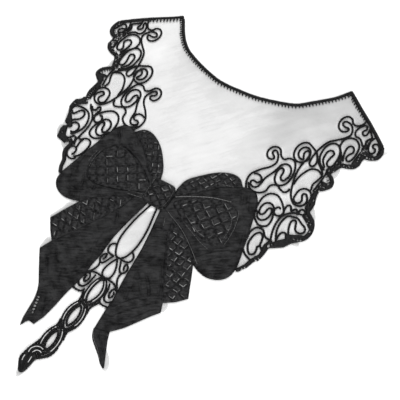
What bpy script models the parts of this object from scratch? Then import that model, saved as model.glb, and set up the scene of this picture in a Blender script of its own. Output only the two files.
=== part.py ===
"""A detachable collar, laid flat: a sheer yoke with corded scrollwork and a large satin bow.

Plan sizes are in millimetres, measured across from the centre line and down from the shoulder
line, and are turned into metres where the solids are made. The collar lies on Z = 0, with +Y
towards the neck. The right side is written out and the left side is its mirror image.
"""
import math
from collections import namedtuple

import bmesh
import bpy
import numpy as np
from mathutils.geometry import delaunay_2d_cdt

MM = 0.001

# Frame: the point of the plan that lies over the origin
MID_ACROSS = 0.76
MID_DOWN = 204.86

# Thicknesses and heights, in millimetres
MESH_THICK = 1.0
SEAM_GAP = 0.3
CORD_TOP = 2.5
EDGE_TOP = 2.7
PLAIN_TOP = 2.6
FRONT_TOP = 2.9
GROOVE_TOP = 2.4
PUFF = 1.1
KNOT_TOP = 4.0
KNOT_PUFF = 1.6
LAID_ON = MESH_THICK + SEAM_GAP

# Widths, in millimetres
CORD_WIDTH = 1.7
NECK_EDGE_WIDTH = 3.4
SHOULDER_EDGE_WIDTH = 4.0
MESH_INSET = 0.5
QUILT_PITCH = 9.0
KNOT_PITCH = 7.5
QUILT_MARGIN = 1.2

# How closely the drawn curves are followed, in millimetres
CORD_TOLERANCE = 0.34
EDGE_TOLERANCE = 0.2
BORDER_TOLERANCE = 0.14
SMALLEST_GAP = 1.2
SMALLEST_PIECE = 3.0

# How curves, corners and ends are drawn
CURL_STEP_DEGREES = 40
LENS_STEP_DEGREES = 10
KNOT_STEP_DEGREES = 15
LENS_POINTEDNESS = 1.35
KNOT_SQUARENESS = 0.35
LEAST_CORNER_COSINE = 0.75
ROUND_END_REACH = 0.8
ROUND_END_WIDTH = 0.5

# Rows of the plan tables
Spot = namedtuple("Spot", "across down")
EdgeSpot = namedtuple("EdgeSpot", "across down width")
Curl = namedtuple("Curl", "across down half_across half_down start turn")
Lens = namedtuple("Lens", "across down half_across half_down width")

# Middle of the corded neckline, from the left shoulder to the right
NECKLINE = [
    Spot(-98.6, 5.2), Spot(-89.6, 17.2), Spot(-79.6, 31.0), Spot(-69.4, 41.0), Spot(-59.2, 46.6),
    Spot(-40.0, 54.2), Spot(-20.0, 59.4), Spot(0.0, 59.5), Spot(20.5, 57.6), Spot(40.5, 52.6),
    Spot(60.8, 44.6), Spot(71.2, 35.6), Spot(81.4, 26.2), Spot(91.5, 15.8), Spot(101.0, 2.2),
]

# Middle of the shoulder edge
SHOULDER = [
    Spot(101.0, 3.0), Spot(113.5, 12.5), Spot(128.5, 23.5), Spot(143.0, 35.0), Spot(154.5, 45.0),
]

# Middle and width of the satin-stitched scallops, from the shoulder down to the bow
SCALLOPS = [
    EdgeSpot(155.3, 46.5, 5.0), EdgeSpot(157.3, 53.0, 4.6), EdgeSpot(155.8, 59.5, 4.8),
    EdgeSpot(150.5, 63.4, 5.0), EdgeSpot(144.6, 64.8, 5.2), EdgeSpot(142.6, 69.5, 5.4),
    EdgeSpot(142.6, 75.5, 5.6), EdgeSpot(140.3, 80.3, 5.4), EdgeSpot(135.8, 83.0, 5.2),
    EdgeSpot(130.4, 84.8, 5.0), EdgeSpot(127.4, 89.5, 4.6), EdgeSpot(125.8, 94.5, 4.2),
    EdgeSpot(124.0, 99.4, 3.8), EdgeSpot(128.6, 102.6, 3.8), EdgeSpot(132.2, 107.0, 4.0),
    EdgeSpot(132.4, 112.2, 4.2), EdgeSpot(128.8, 116.4, 4.4), EdgeSpot(124.4, 120.6, 4.6),
    EdgeSpot(124.6, 127.0, 4.4), EdgeSpot(125.6, 133.5, 4.4), EdgeSpot(125.8, 140.5, 4.4),
    EdgeSpot(125.4, 146.5, 4.4), EdgeSpot(129.6, 150.0, 4.6), EdgeSpot(134.0, 154.0, 4.8),
    EdgeSpot(136.8, 160.5, 4.6), EdgeSpot(137.2, 167.0, 4.4), EdgeSpot(134.8, 173.4, 4.6),
    EdgeSpot(130.0, 177.6, 5.0), EdgeSpot(124.8, 182.0, 6.2), EdgeSpot(120.4, 187.8, 8.2),
    EdgeSpot(115.0, 192.6, 7.6), EdgeSpot(110.6, 197.0, 4.8), EdgeSpot(110.2, 203.5, 4.2),
    EdgeSpot(109.0, 210.5, 4.2), EdgeSpot(105.4, 217.0, 4.0), EdgeSpot(103.2, 224.0, 3.8),
    EdgeSpot(98.6, 231.5, 3.6),
]

# Dense satin fillings along the inner side of the scallops
FILLINGS = [
    [EdgeSpot(143.6, 42.5, 2.6), EdgeSpot(140.6, 47.0, 2.6), EdgeSpot(141.6, 52.0, 3.0),
     EdgeSpot(141.4, 58.5, 5.4), EdgeSpot(147.0, 61.2, 3.6), EdgeSpot(152.0, 60.6, 3.6)],
    [EdgeSpot(140.6, 62.0, 3.0), EdgeSpot(139.8, 70.0, 2.6), EdgeSpot(138.6, 78.0, 2.6)],
    [EdgeSpot(126.2, 76.0, 3.4), EdgeSpot(126.0, 84.0, 4.6), EdgeSpot(124.6, 91.0, 4.0),
     EdgeSpot(121.4, 97.0, 4.4)],
    [EdgeSpot(123.4, 111.4, 3.0), EdgeSpot(127.4, 113.6, 6.4), EdgeSpot(123.4, 118.0, 3.4)],
    [EdgeSpot(121.6, 124.6, 3.0), EdgeSpot(122.6, 134.0, 2.6), EdgeSpot(122.6, 144.0, 3.4)],
    [EdgeSpot(124.4, 151.6, 4.6), EdgeSpot(130.0, 154.6, 5.4), EdgeSpot(134.4, 160.0, 3.2)],
    [EdgeSpot(133.0, 172.4, 3.0), EdgeSpot(126.6, 176.2, 3.6), EdgeSpot(121.4, 179.4, 5.6)],
    [EdgeSpot(110.8, 191.0, 3.6), EdgeSpot(108.6, 197.4, 3.4), EdgeSpot(108.0, 203.0, 2.0)],
]

# Routes of the cords, each laid through its spots and round its curls
CROWN_HOOK = [
    Spot(129.6, 25.5), Spot(127.6, 32.0), Spot(122.6, 36.1), Spot(118.6, 34.8),
    Curl(113.2, 39.5, 6.5, 9.7, 300, -252), Spot(118.2, 43.0),
    Curl(113.6, 39.5, 3.4, 3.3, 90, 180), Spot(118.2, 37.6), Spot(121.9, 42.5), Spot(122.8, 48.0),
    Spot(120.4, 53.5), Spot(114.0, 60.6), Spot(108.4, 66.2), Spot(105.2, 73.0), Spot(103.0, 82.0),
    Spot(102.0, 90.0), Curl(105.3, 96.0, 3.1, 4.6, 180, -190), Spot(106.8, 89.5), Spot(103.4, 83.6),
]
SHOULDER_HOOK = [
    Spot(135.4, 28.5), Spot(136.4, 34.5), Curl(134.0, 39.0, 2.5, 3.4, 0, 180), Spot(133.6, 34.6),
    Curl(131.4, 33.4, 2.1, 2.4, 0, -150), Spot(126.2, 37.5), Spot(125.3, 42.5), Spot(127.4, 47.2),
    Spot(132.4, 48.0), Spot(135.4, 50.6), Spot(138.2, 54.2), Spot(140.2, 52.0), Spot(139.0, 48.0),
    Spot(140.2, 44.4), Spot(142.2, 41.2), Spot(139.4, 36.8), Spot(136.2, 32.4),
]
TOP_LOBE = [
    Spot(145.6, 38.4), Spot(143.2, 43.5), Spot(143.0, 49.0), Curl(148.0, 54.2, 3.2, 4.0, 150, -190),
    Spot(147.6, 50.8), Curl(149.8, 48.8, 3.1, 3.4, 180, 120), Spot(154.2, 50.0), Spot(154.8, 57.0),
]
UPPER_OVAL = [
    Spot(128.4, 83.0), Spot(124.8, 74.2), Spot(120.4, 67.4), Curl(128.0, 62.0, 9.0, 11.2, 160, 165),
    Spot(137.0, 63.5), Spot(136.7, 70.5), Curl(133.2, 73.6, 2.9, 4.1, 20, 185),
    Spot(132.4, 68.4), Curl(130.6, 65.4, 4.1, 5.2, 10, -190), Spot(127.0, 72.6), Spot(129.4, 80.0),
]
MIDDLE_OVAL = [
    Spot(118.6, 98.4), Spot(112.4, 94.2), Spot(107.8, 86.0), Curl(115.6, 79.5, 8.4, 14.2, 165, 190),
    Spot(123.9, 84.5), Curl(120.2, 88.4, 3.3, 4.1, 0, 170), Spot(117.4, 83.0),
    Curl(115.6, 80.4, 4.0, 5.9, 320, -150), Spot(112.4, 88.5), Spot(117.6, 95.8),
]
SHOULDER_SPIRAL = [
    Spot(103.0, 83.5), Curl(92.2, 90.6, 8.3, 12.3, 305, -285), Spot(99.6, 93.0),
    Curl(93.6, 90.9, 5.5, 7.5, 350, -280), Curl(96.0, 91.6, 2.7, 5.1, 185, 165), Spot(98.4, 98.0),
]
LEAF = [
    Spot(104.6, 86.0), Spot(108.8, 92.4), Spot(116.4, 99.4), Spot(119.6, 104.4), Spot(118.6, 111.0),
    Spot(116.5, 118.0), Spot(117.6, 124.6),
]
LEAF_SIDE = [
    Spot(118.8, 104.0), Spot(112.8, 101.4), Spot(106.8, 104.2), Spot(103.0, 111.4),
    Spot(100.9, 119.0), Spot(100.6, 127.6),
]
SIDE_LINE = [Spot(121.4, 99.0), Spot(122.0, 106.0), Spot(121.4, 113.5), Spot(119.8, 124.6)]
LOWER_SPIRAL = [
    Spot(98.4, 96.5), Spot(97.0, 106.5), Spot(97.5, 117.0), Spot(99.8, 128.0), Spot(103.6, 138.4),
    Curl(112.6, 138.2, 7.2, 8.0, 140, -190), Curl(115.2, 133.4, 2.1, 2.6, 300, -130),
    Curl(111.4, 139.2, 3.9, 4.5, 350, 170), Curl(114.6, 134.4, 7.3, 9.0, 170, 200),
    Spot(122.0, 141.0),
]
BREAST_HOOK = [
    Spot(64.4, 155.0), Spot(60.6, 147.0), Spot(60.4, 138.0), Spot(66.0, 128.6), Spot(72.6, 121.0),
    Spot(75.2, 113.6), Spot(72.6, 105.8), Curl(68.6, 105.0, 2.2, 2.7, 290, -160),
    Curl(67.8, 110.8, 2.9, 3.0, 340, 130), Curl(68.4, 106.2, 6.5, 8.2, 115, 185), Spot(75.6, 105.2),
    Spot(79.8, 107.2), Spot(84.0, 103.6), Spot(89.4, 103.8), Spot(93.8, 111.2),
    Curl(88.0, 122.6, 7.5, 13.2, 0, 175), Curl(83.4, 121.4, 2.7, 4.6, 190, 160),
    Curl(89.0, 124.6, 2.9, 4.6, 170, -165), Curl(86.0, 120.6, 6.9, 10.0, 15, -195),
    Spot(77.2, 127.0), Spot(74.2, 135.0), Curl(68.6, 143.0, 4.9, 6.5, 0, 150),
    Curl(66.8, 145.2, 2.5, 2.2, 190, 90), Curl(66.8, 139.4, 5.4, 4.7, 60, -200),
]
BREAST_LINE = [
    Spot(62.6, 147.6), Spot(67.4, 152.6), Spot(75.6, 152.8), Spot(81.0, 147.8), Spot(82.4, 139.6),
    Spot(87.6, 136.4), Spot(92.0, 138.6), Curl(95.6, 134.4, 4.2, 5.4, 120, -130),
]
ARCH = [
    Spot(82.6, 170.0), Spot(82.0, 160.0), Curl(92.0, 156.4, 9.6, 10.8, 195, 120),
    Spot(103.4, 153.4), Spot(106.6, 158.6), Curl(102.2, 160.4, 4.2, 4.6, 20, 230),
    Spot(102.8, 157.2),
]
UNDER_CURL = [
    Spot(98.6, 164.0), Curl(92.0, 163.8, 6.1, 7.2, 330, -150),
    Curl(89.0, 166.4, 3.0, 5.0, 180, -165), Spot(92.6, 162.6), Spot(94.6, 160.9),
    Curl(91.2, 167.4, 6.1, 9.4, 330, 185), Spot(83.2, 168.6),
]
UNDER_LINE = [
    Spot(83.4, 172.0), Spot(86.4, 177.4), Spot(93.4, 182.0), Spot(99.8, 179.4), Spot(100.9, 171.4),
    Spot(98.8, 163.4),
]
LOBE_OUTER = [
    Spot(122.6, 152.2), Spot(114.6, 154.6), Spot(107.8, 161.6), Spot(106.0, 171.0),
    Spot(107.2, 181.0), Spot(110.0, 190.6),
]
LOBE_INNER = [
    Spot(114.6, 189.0), Spot(110.2, 178.6), Spot(109.6, 167.6), Spot(112.4, 160.0),
    Curl(119.6, 162.8, 5.0, 5.4, 240, 60), Spot(127.0, 161.0), Curl(127.8, 166.2, 4.7, 4.6, 300, 240),
    Curl(119.8, 164.4, 2.6, 3.6, 0, -180), Spot(119.0, 172.4), Spot(122.6, 179.0),
]
LOBE_ARCH = [Spot(114.0, 188.0), Curl(117.6, 181.0, 3.5, 4.0, 180, 150)]
WAVE = [
    Spot(106.2, 158.4), Curl(108.4, 152.4, 2.4, 3.2, 180, 160), Spot(111.8, 153.6),
    Curl(115.4, 152.6, 2.2, 2.6, 200, 140), Spot(118.6, 154.8),
]
RING = [Curl(121.6, 150.2, 3.0, 3.3, 110, 290)]
LOW_OVAL = [
    Spot(110.6, 213.8), Spot(106.6, 212.2), Curl(106.0, 206.4, 2.9, 5.2, 60, -90), Spot(104.4, 199.4),
    Curl(99.2, 197.4, 4.7, 9.2, 345, -165), Spot(95.2, 204.6), Curl(101.0, 207.4, 3.2, 4.8, 130, -150),
    Spot(103.2, 202.0), Spot(105.2, 200.2),
]
LOW_LINE = [
    Spot(91.4, 200.0), Spot(90.4, 192.0), Spot(93.4, 185.2), Spot(99.4, 184.6), Spot(104.4, 189.8),
    Spot(109.8, 190.4),
]
LOW_TIE = [Spot(96.2, 184.6), Spot(96.6, 181.4)]
LOW_FOOT = [Spot(92.4, 209.4), Spot(98.0, 214.8), Spot(106.6, 217.6)]

SCROLLS = [
    CROWN_HOOK, SHOULDER_HOOK, TOP_LOBE, UPPER_OVAL, MIDDLE_OVAL, SHOULDER_SPIRAL, LEAF, LEAF_SIDE,
    SIDE_LINE, LOWER_SPIRAL, BREAST_HOOK, BREAST_LINE, ARCH, UNDER_CURL, UNDER_LINE, LOBE_OUTER,
    LOBE_INNER, LOBE_ARCH, WAVE, RING, LOW_OVAL, LOW_LINE, LOW_TIE, LOW_FOOT,
]

# Outline of a bow loop, from the knot over the top and down to the foot of the loop
LOOP_CREST = [
    Spot(10.0, 188.9), Spot(13.2, 179.0), Spot(20.4, 167.6), Spot(29.0, 157.6), Spot(38.0, 151.2),
    Spot(47.0, 147.8), Spot(54.4, 148.6), Spot(61.2, 155.2),
]
LOOP_SIDE = [
    Spot(61.2, 155.2), Spot(67.6, 152.8), Spot(74.6, 154.0), Spot(80.2, 160.6), Spot(84.4, 173.0),
    Spot(89.0, 189.6), Spot(92.6, 203.0), Spot(95.2, 218.0), Spot(97.2, 231.0), Spot(95.2, 241.4),
    Spot(89.0, 248.0), Spot(79.0, 251.0), Spot(70.0, 249.8), Spot(62.4, 246.6),
]
LOOP_FOOT = [
    Spot(62.4, 246.6), Spot(54.2, 236.6), Spot(46.0, 230.0), Spot(36.6, 224.2), Spot(25.0, 218.8),
    Spot(10.2, 214.6),
]
# Where the quilted back of the loop meets its plain front
LOOP_SPLIT = [
    Spot(61.2, 155.2), Spot(52.4, 160.8), Spot(44.0, 165.6), Spot(36.6, 173.0), Spot(28.8, 181.6),
    Spot(20.6, 189.0), Spot(10.2, 197.6),
]
LOOP_INSET = [
    Spot(14.0, 203.6), Spot(26.0, 191.0), Spot(38.0, 183.2), Spot(50.0, 178.8), Spot(61.0, 177.0),
    Spot(69.4, 179.8), Spot(75.4, 188.6), Spot(78.0, 200.4), Spot(77.2, 212.6), Spot(71.6, 221.4),
    Spot(62.0, 223.4), Spot(49.0, 220.6), Spot(36.0, 216.2), Spot(24.0, 211.2),
]

# Outline of a bow tail: its quilted outer strip and its plain inner strip
TAIL_QUILT_SIDE = [Spot(62.4, 246.6), Spot(66.6, 255.0), Spot(71.0, 264.6), Spot(76.0, 276.0)]
TAIL_QUILT_END = [Spot(76.0, 276.0), Spot(67.6, 285.4), Spot(59.6, 292.4)]
TAIL_SPLIT = [
    Spot(22.0, 218.6), Spot(26.4, 232.0), Spot(32.0, 243.6), Spot(38.6, 255.4), Spot(45.2, 267.2),
    Spot(51.6, 279.0), Spot(59.6, 292.4),
]
TAIL_CORNER = Spot(63.4, 302.6)
TAIL_OUTER = [
    Spot(63.4, 302.6), Spot(55.8, 313.0), Spot(49.0, 322.4), Spot(41.4, 332.0), Spot(33.8, 339.0),
]
TAIL_INNER = [
    Spot(6.4, 216.4), Spot(9.2, 229.0), Spot(12.2, 244.0), Spot(14.2, 258.0), Spot(15.4, 272.0),
    Spot(16.6, 288.0), Spot(17.8, 306.0), Spot(19.0, 321.0), Spot(20.0, 333.0), Spot(20.6, 341.0),
]
# The left tail hangs straight to its point; the right one has its tip turned outwards
LEFT_TIP_OUTER = [
    Spot(-63.4, 302.6), Spot(-56.6, 314.6), Spot(-49.6, 325.0), Spot(-43.0, 336.0),
    Spot(-39.8, 346.0), Spot(-38.4, 356.0), Spot(-37.4, 365.0), Spot(-35.6, 371.4),
]
LEFT_TIP_END = [Spot(-35.6, 371.4), Spot(-32.0, 364.2), Spot(-26.4, 364.8)]
LEFT_TIP_INNER = [Spot(-26.4, 364.8), Spot(-22.8, 355.0), Spot(-20.6, 341.0)]
RIGHT_TIP = [
    Spot(33.8, 339.0), Spot(36.6, 346.4), Spot(40.8, 354.0), Spot(44.2, 360.6), Spot(47.0, 367.0),
    Spot(43.0, 365.6), Spot(37.0, 360.2), Spot(30.0, 355.2), Spot(24.2, 350.4), Spot(21.2, 345.4),
    Spot(20.6, 341.0),
]
# Where the quilted strip and the mesh run on under the loop
TAIL_UNDER_LOOP = Spot(40.0, 217.0)
MESH_UNDER_LOOP = [Spot(20.0, 204.0), Spot(56.0, 228.0)]
MESH_UNDER_BOW = [Spot(88.0, 236.0), Spot(60.0, 236.0), Spot(14.0, 212.0)]
KNOT_MID = Spot(-2.2, 202.2)
KNOT_HALF_ACROSS = 11.8
KNOT_HALF_DOWN = 13.4

# Pendant below the knot: a long corded drop, side curls, and a chain of double-corded lenses
PENDANT_DROP = Lens(0.3, 246.0, 8.9, 31.0, CORD_WIDTH)
PENDANT_TEAR = [Curl(0.4, 292.4, 4.6, 6.5, 340, 220), Spot(-1.6, 283.0), Spot(0.4, 278.0),
                Spot(2.4, 283.0), Spot(4.6, 290.2)]
PENDANT_EAR = [Spot(8.6, 265.6), Curl(9.8, 271.2, 2.8, 4.6, 285, 180), Spot(4.4, 276.8)]
PENDANT_CURL = [
    Spot(0.6, 277.4), Spot(4.6, 279.6), Curl(9.4, 282.4, 2.9, 4.9, 180, -170),
    Spot(10.6, 278.2), Curl(12.2, 282.6, 2.7, 4.8, 270, 130), Spot(11.8, 292.0), Spot(13.6, 299.4),
]
PENDANT_BAR = [Spot(0.4, 299.4), Spot(8.6, 299.6), Spot(14.0, 301.6), Spot(18.6, 307.0)]
PENDANT_CUFF = [
    Spot(8.6, 300.0), Spot(9.6, 306.0), Curl(13.4, 311.0, 3.6, 4.6, 170, -140),
    Spot(16.4, 308.0), Curl(14.2, 306.6, 1.5, 2.2, 0, -180), Spot(12.8, 309.6),
]
PENDANT_HEM = [Spot(8.4, 312.0), Spot(10.6, 318.4), Spot(18.0, 319.4)]
CHAIN = [
    Lens(1.2, 313.6, 4.4, 12.2, CORD_WIDTH), Lens(1.0, 313.8, 7.4, 15.2, CORD_WIDTH),
    Lens(-1.2, 341.4, 3.6, 10.4, 2.2), Lens(-1.0, 341.6, 8.0, 16.4, 3.6),
    Lens(-4.6, 369.6, 3.2, 10.2, 2.2), Lens(-4.8, 370.0, 7.4, 16.0, 3.6),
]
PENDANT_TIP = [
    Spot(3.2, 382.2), Spot(-2.0, 386.6), Spot(-6.0, 390.4), Spot(-7.0, 397.0), Spot(-8.8, 404.2),
    Spot(-12.4, 405.6), Spot(-16.2, 401.2), Spot(-19.0, 395.6), Spot(-18.4, 389.0),
    Spot(-14.8, 378.4), Spot(-9.0, 380.6), Spot(-3.6, 380.2),
]
PENDANT_GROUND = [
    Spot(8.0, 214.0), Spot(18.4, 300.0), Spot(20.4, 320.9), Spot(11.4, 320.9), Spot(8.2, 327.0),
    Spot(8.6, 341.0), Spot(5.2, 352.0), Spot(3.0, 358.0), Spot(4.0, 369.0), Spot(3.0, 382.0),
    Spot(-6.2, 391.0), Spot(-8.4, 404.6), Spot(-11.2, 409.6), Spot(-14.2, 403.8), Spot(-18.6, 395.8),
    Spot(-18.0, 389.0), Spot(-13.6, 377.4), Spot(-13.6, 369.0), Spot(-9.0, 356.0), Spot(-10.4, 342.0),
    Spot(-8.2, 331.0), Spot(-6.4, 326.0), Spot(-10.4, 320.4), Spot(-18.4, 320.4), Spot(-8.0, 214.0),
]

# Height of each bow piece, its quilting, and the pieces that are cut out of it
BowPiece = namedtuple("BowPiece", "top pitch puff cut_first")
BOW_PIECES = {
    "bow": BowPiece(KNOT_TOP, KNOT_PITCH, KNOT_PUFF, []),
    "loop_inset": BowPiece(GROOVE_TOP, QUILT_PITCH, PUFF, ["bow_knot"]),
    "loop_back": BowPiece(GROOVE_TOP, QUILT_PITCH, PUFF, ["bow_knot"]),
    "loop_front": BowPiece(FRONT_TOP, 0.0, 0.0, ["bow_knot", "loop_inset_{side}", "loop_back_{side}"]),
    "tail_quilt": BowPiece(GROOVE_TOP, QUILT_PITCH, PUFF,
                           ["bow_knot", "loop_front_{side}", "loop_back_{side}"]),
    "tail_plain": BowPiece(PLAIN_TOP, 0.0, 0.0,
                           ["bow_knot", "loop_front_{side}", "loop_back_{side}", "tail_quilt_{side}"]),
    "tail_tip": BowPiece(FRONT_TOP, 0.0, 0.0, ["tail_plain_{side}"]),
}

# How the cloth has settled unevenly: a soft shift of all that lies near a place
Shift = namedtuple("Shift", "across down reach move_across move_down")
SETTLED = [
    Shift(-112.0, 40.0, 14.0, 1.0, 1.4), Shift(-155.0, 54.0, 9.0, 1.6, -0.6),
    Shift(-146.0, 74.0, 8.0, -2.6, 0.2), Shift(-133.0, 111.0, 11.0, -3.4, 1.8),
    Shift(-128.0, 135.0, 10.0, -1.6, 0.0), Shift(-137.0, 163.0, 11.0, 3.6, -3.6),
    Shift(-121.0, 191.0, 8.0, -1.5, 9.0), Shift(-100.0, 200.0, 14.0, 2.4, 0.5),
    Shift(-105.0, 219.0, 8.0, 2.0, 1.0), Shift(-134.0, 172.0, 7.0, 1.4, 0.0),
    Shift(16.0, 172.0, 9.0, -2.0, -0.5),
    Shift(-65.0, 304.0, 10.0, -1.8, 1.4), Shift(62.0, 301.0, 9.0, -1.4, -1.2),
]


# Plan geometry

def settled(point):
    """Where a point of the plan has come to lie."""
    point = np.array(point, float)
    moved = point.copy()
    for shift in SETTLED:
        away = (point[0] - shift.across) ** 2 + (point[1] - shift.down) ** 2
        share = math.exp(-away / (2 * shift.reach ** 2))
        moved[0] += shift.move_across * share
        moved[1] += shift.move_down * share
    return moved


def mirrored(route):
    """The same route on the other side of the centre line."""
    result = []
    for step in route:
        if isinstance(step, Curl):
            result.append(step._replace(across=-step.across, start=180 - step.start, turn=-step.turn))
        else:
            result.append(step._replace(across=-step.across))
    return result


def between(first, second, start, end, time):
    """The value on the way from first, at the start time, to second, at the end time."""
    return (first * (end - time) + second * (time - start)) / (end - start)


def smooth(knots, closed=False, pieces=8):
    """A centripetal curve through the knots; a knot may carry a width as its third value."""
    knots = [np.array(knot, float) for knot in knots]
    if closed:
        ring = [knots[-1]] + knots + knots[:2]
    else:
        ring = [2 * knots[0] - knots[1]] + knots + [2 * knots[-1] - knots[-2]]
    points = []
    for p0, p1, p2, p3 in zip(ring, ring[1:], ring[2:], ring[3:]):
        t0 = 0.0
        t1 = t0 + np.linalg.norm(p1[:2] - p0[:2]) ** 0.5
        t2 = t1 + np.linalg.norm(p2[:2] - p1[:2]) ** 0.5
        t3 = t2 + np.linalg.norm(p3[:2] - p2[:2]) ** 0.5
        for time in np.linspace(t1, t2, pieces, endpoint=False):
            a1 = between(p0, p1, t0, t1, time)
            a2 = between(p1, p2, t1, t2, time)
            a3 = between(p2, p3, t2, t3, time)
            b1 = between(a1, a2, t0, t2, time)
            b2 = between(a2, a3, t1, t3, time)
            points.append(between(b1, b2, t1, t2, time))
    if not closed:
        points.append(knots[-1])
    return points


def thinned(points, tolerance):
    """The fewest of the points that keep within the tolerance of the whole line."""
    if len(points) < 3:
        return points
    start, end = points[0][:2], points[-1][:2]
    run = end - start
    length = np.linalg.norm(run)
    if length < 1e-6:
        offsets = [np.linalg.norm(point[:2] - start) for point in points]
    else:
        offsets = [abs(run[0] * (point[1] - start[1]) - run[1] * (point[0] - start[0])) / length
                   for point in points]
    far = int(np.argmax(offsets))
    if offsets[far] <= tolerance:
        return [points[0], points[-1]]
    return thinned(points[:far + 1], tolerance)[:-1] + thinned(points[far:], tolerance)


def line_of(route, tolerance=CORD_TOLERANCE):
    """The drawn line of a route of spots and curls."""
    knots = []
    for step in route:
        if isinstance(step, Curl):
            count = max(2, round(abs(step.turn) / CURL_STEP_DEGREES))
            for angle in np.radians(np.linspace(step.start, step.start + step.turn, count + 1)):
                knots.append((step.across + step.half_across * math.cos(angle),
                              step.down + step.half_down * math.sin(angle)))
        else:
            knots.append(tuple(step))
    return thinned(smooth(knots), tolerance)


def lens_line(lens, tolerance=CORD_TOLERANCE):
    """A closed pointed oval, round at the sides and narrow at the two ends."""
    points = []
    for angle in np.radians(np.arange(0, 360, LENS_STEP_DEGREES)):
        across = abs(math.cos(angle)) ** LENS_POINTEDNESS * math.copysign(1, math.cos(angle))
        points.append(np.array([lens.across + lens.half_across * across,
                                lens.down + lens.half_down * math.sin(angle)]))
    points.append(points[0])
    half = len(points) // 2
    return thinned(points[:half + 1], tolerance)[:-1] + thinned(points[half:], tolerance)


def turned_left(polygon):
    """The polygon with its corners in counter-clockwise order."""
    area = sum(a[0] * b[1] - b[0] * a[1] for a, b in zip(polygon, polygon[1:] + polygon[:1]))
    return polygon if area > 0 else polygon[::-1]


def hull(corners):
    """The convex outline round a few corners, counter-clockwise."""
    ordered = sorted(tuple(map(float, corner)) for corner in corners)
    half_outlines = []
    for run in (ordered, ordered[::-1]):
        chain = []
        for point in run:
            while len(chain) > 1 and ((chain[-1][0] - chain[-2][0]) * (point[1] - chain[-2][1])
                                      <= (chain[-1][1] - chain[-2][1]) * (point[0] - chain[-2][0])):
                chain.pop()
            chain.append(point)
        half_outlines += chain[:-1]
    return half_outlines


def band(line, width, closed=False):
    """The convex faces and round ends of a band laid along a line."""
    points = [np.array(point[:2]) for point in line]
    halves = [(point[2] if len(point) > 2 else 0.0) / 2 + width / 2 for point in line]
    count = len(points)
    if closed:
        points, halves, count = points[:-1], halves[:-1], count - 1
    lefts, rights = [], []
    for i in range(count):
        before = points[i - 1] if closed or i else 2 * points[0] - points[1]
        after = points[(i + 1) % count] if closed or i < count - 1 else 2 * points[-1] - points[-2]
        into = (points[i] - before) / np.linalg.norm(points[i] - before)
        out = (after - points[i]) / np.linalg.norm(after - points[i])
        middle = (into + out) / max(np.linalg.norm(into + out), 1e-6)
        side = np.array([-middle[1], middle[0]])
        reach = halves[i] / max(abs(float(np.dot(middle, out))), LEAST_CORNER_COSINE)
        lefts.append(points[i] + side * reach)
        rights.append(points[i] - side * reach)
    faces = []
    for i in range(count if closed else count - 1):
        j = (i + 1) % count
        faces.append([lefts[i], lefts[j], rights[j], rights[i]])
    if not closed:
        for end, inner, half in ((0, 1, halves[0]), (-1, -2, halves[-1])):
            outwards = (points[end] - points[inner]) / np.linalg.norm(points[end] - points[inner])
            tip = points[end] + outwards * half * ROUND_END_REACH
            faces.append([lefts[end], tip + (lefts[end] - points[end]) * ROUND_END_WIDTH,
                          tip + (rights[end] - points[end]) * ROUND_END_WIDTH, rights[end]])
    return [hull(face) for face in faces]


class Footprint:
    """The plan of a piece: bands along lines, and filled outlines."""

    def __init__(self, bands=(), outlines=()):
        self.bands = [([settled(point) for point in line], width) for line, width in bands]
        self.outlines = [[settled(point) for point in outline] for outline in outlines]

    def faces(self, grow=0.0):
        """Faces that cover the plan, grown on every side by the given amount."""
        result = []
        for line, width in self.bands:
            closed = np.linalg.norm(np.array(line[0][:2]) - np.array(line[-1][:2])) < 1e-6
            result += band(line, width + 2 * grow, closed)
        for outline in self.outlines:
            result.append(turned_left([np.array(point[:2]) for point in outline]))
            if grow > 0:
                result += band(list(outline) + [outline[0]], 2 * grow, closed=True)
        return result


def triangulate(polygons, loose=()):
    """Triangles over the polygons, as points, triangles and the polygons that hold each."""
    points, faces = [], []
    for polygon in polygons:
        faces.append(list(range(len(points), len(points) + len(polygon))))
        points += [tuple(map(float, point)) for point in polygon]
    points += [tuple(map(float, point)) for point in loose]
    result = delaunay_2d_cdt(points, [], faces, 0, 1e-4, True)
    return [np.array(tuple(point)) for point in result[0]], result[2], result[5]


def border_loops(triangles):
    """The closed borders round a set of triangles, as lists of point numbers."""
    edges = set()
    for a, b, c in triangles:
        edges.update(((a, b), (b, c), (c, a)))
    following = {}
    for start, end in edges:
        if (end, start) not in edges:
            following.setdefault(start, []).append(end)
    loops = []
    while following:
        start = next(iter(following))
        loop = [start]
        while True:
            ends = following[loop[-1]]
            end = ends.pop()
            if not ends:
                del following[loop[-1]]
            if end == start:
                break
            loop.append(end)
        loops.append(loop)
    return loops


def signed_area(loop):
    """The area inside a loop of points: positive for an outer border, negative for a gap."""
    array = np.array(loop)
    ahead = np.roll(array, -1, axis=0)
    return float(np.sum(array[:, 0] * ahead[:, 1] - ahead[:, 0] * array[:, 1])) / 2


def cleaned(loop, tolerance):
    """A loop without the points that its shape doesn't need."""
    loop = [np.array(point) for point in loop]
    far = int(np.argmax([np.linalg.norm(point - loop[0]) for point in loop]))
    kept = thinned(loop[:far + 1], tolerance)[:-1] + thinned(loop[far:] + [loop[0]], tolerance)[:-1]
    return kept


def inside(point, loops):
    """Whether a point lies inside the loops, counted by the borders to its right."""
    crossings = 0
    for loop in loops:
        array = np.array(loop)
        ahead = np.roll(array, -1, axis=0)
        spans = (array[:, 1] > point[1]) != (ahead[:, 1] > point[1])
        a, b = array[spans], ahead[spans]
        cut = a[:, 0] + (point[1] - a[:, 1]) * (b[:, 0] - a[:, 0]) / (b[:, 1] - a[:, 1])
        crossings += int(np.sum(cut > point[0]))
    return crossings % 2 == 1


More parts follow.
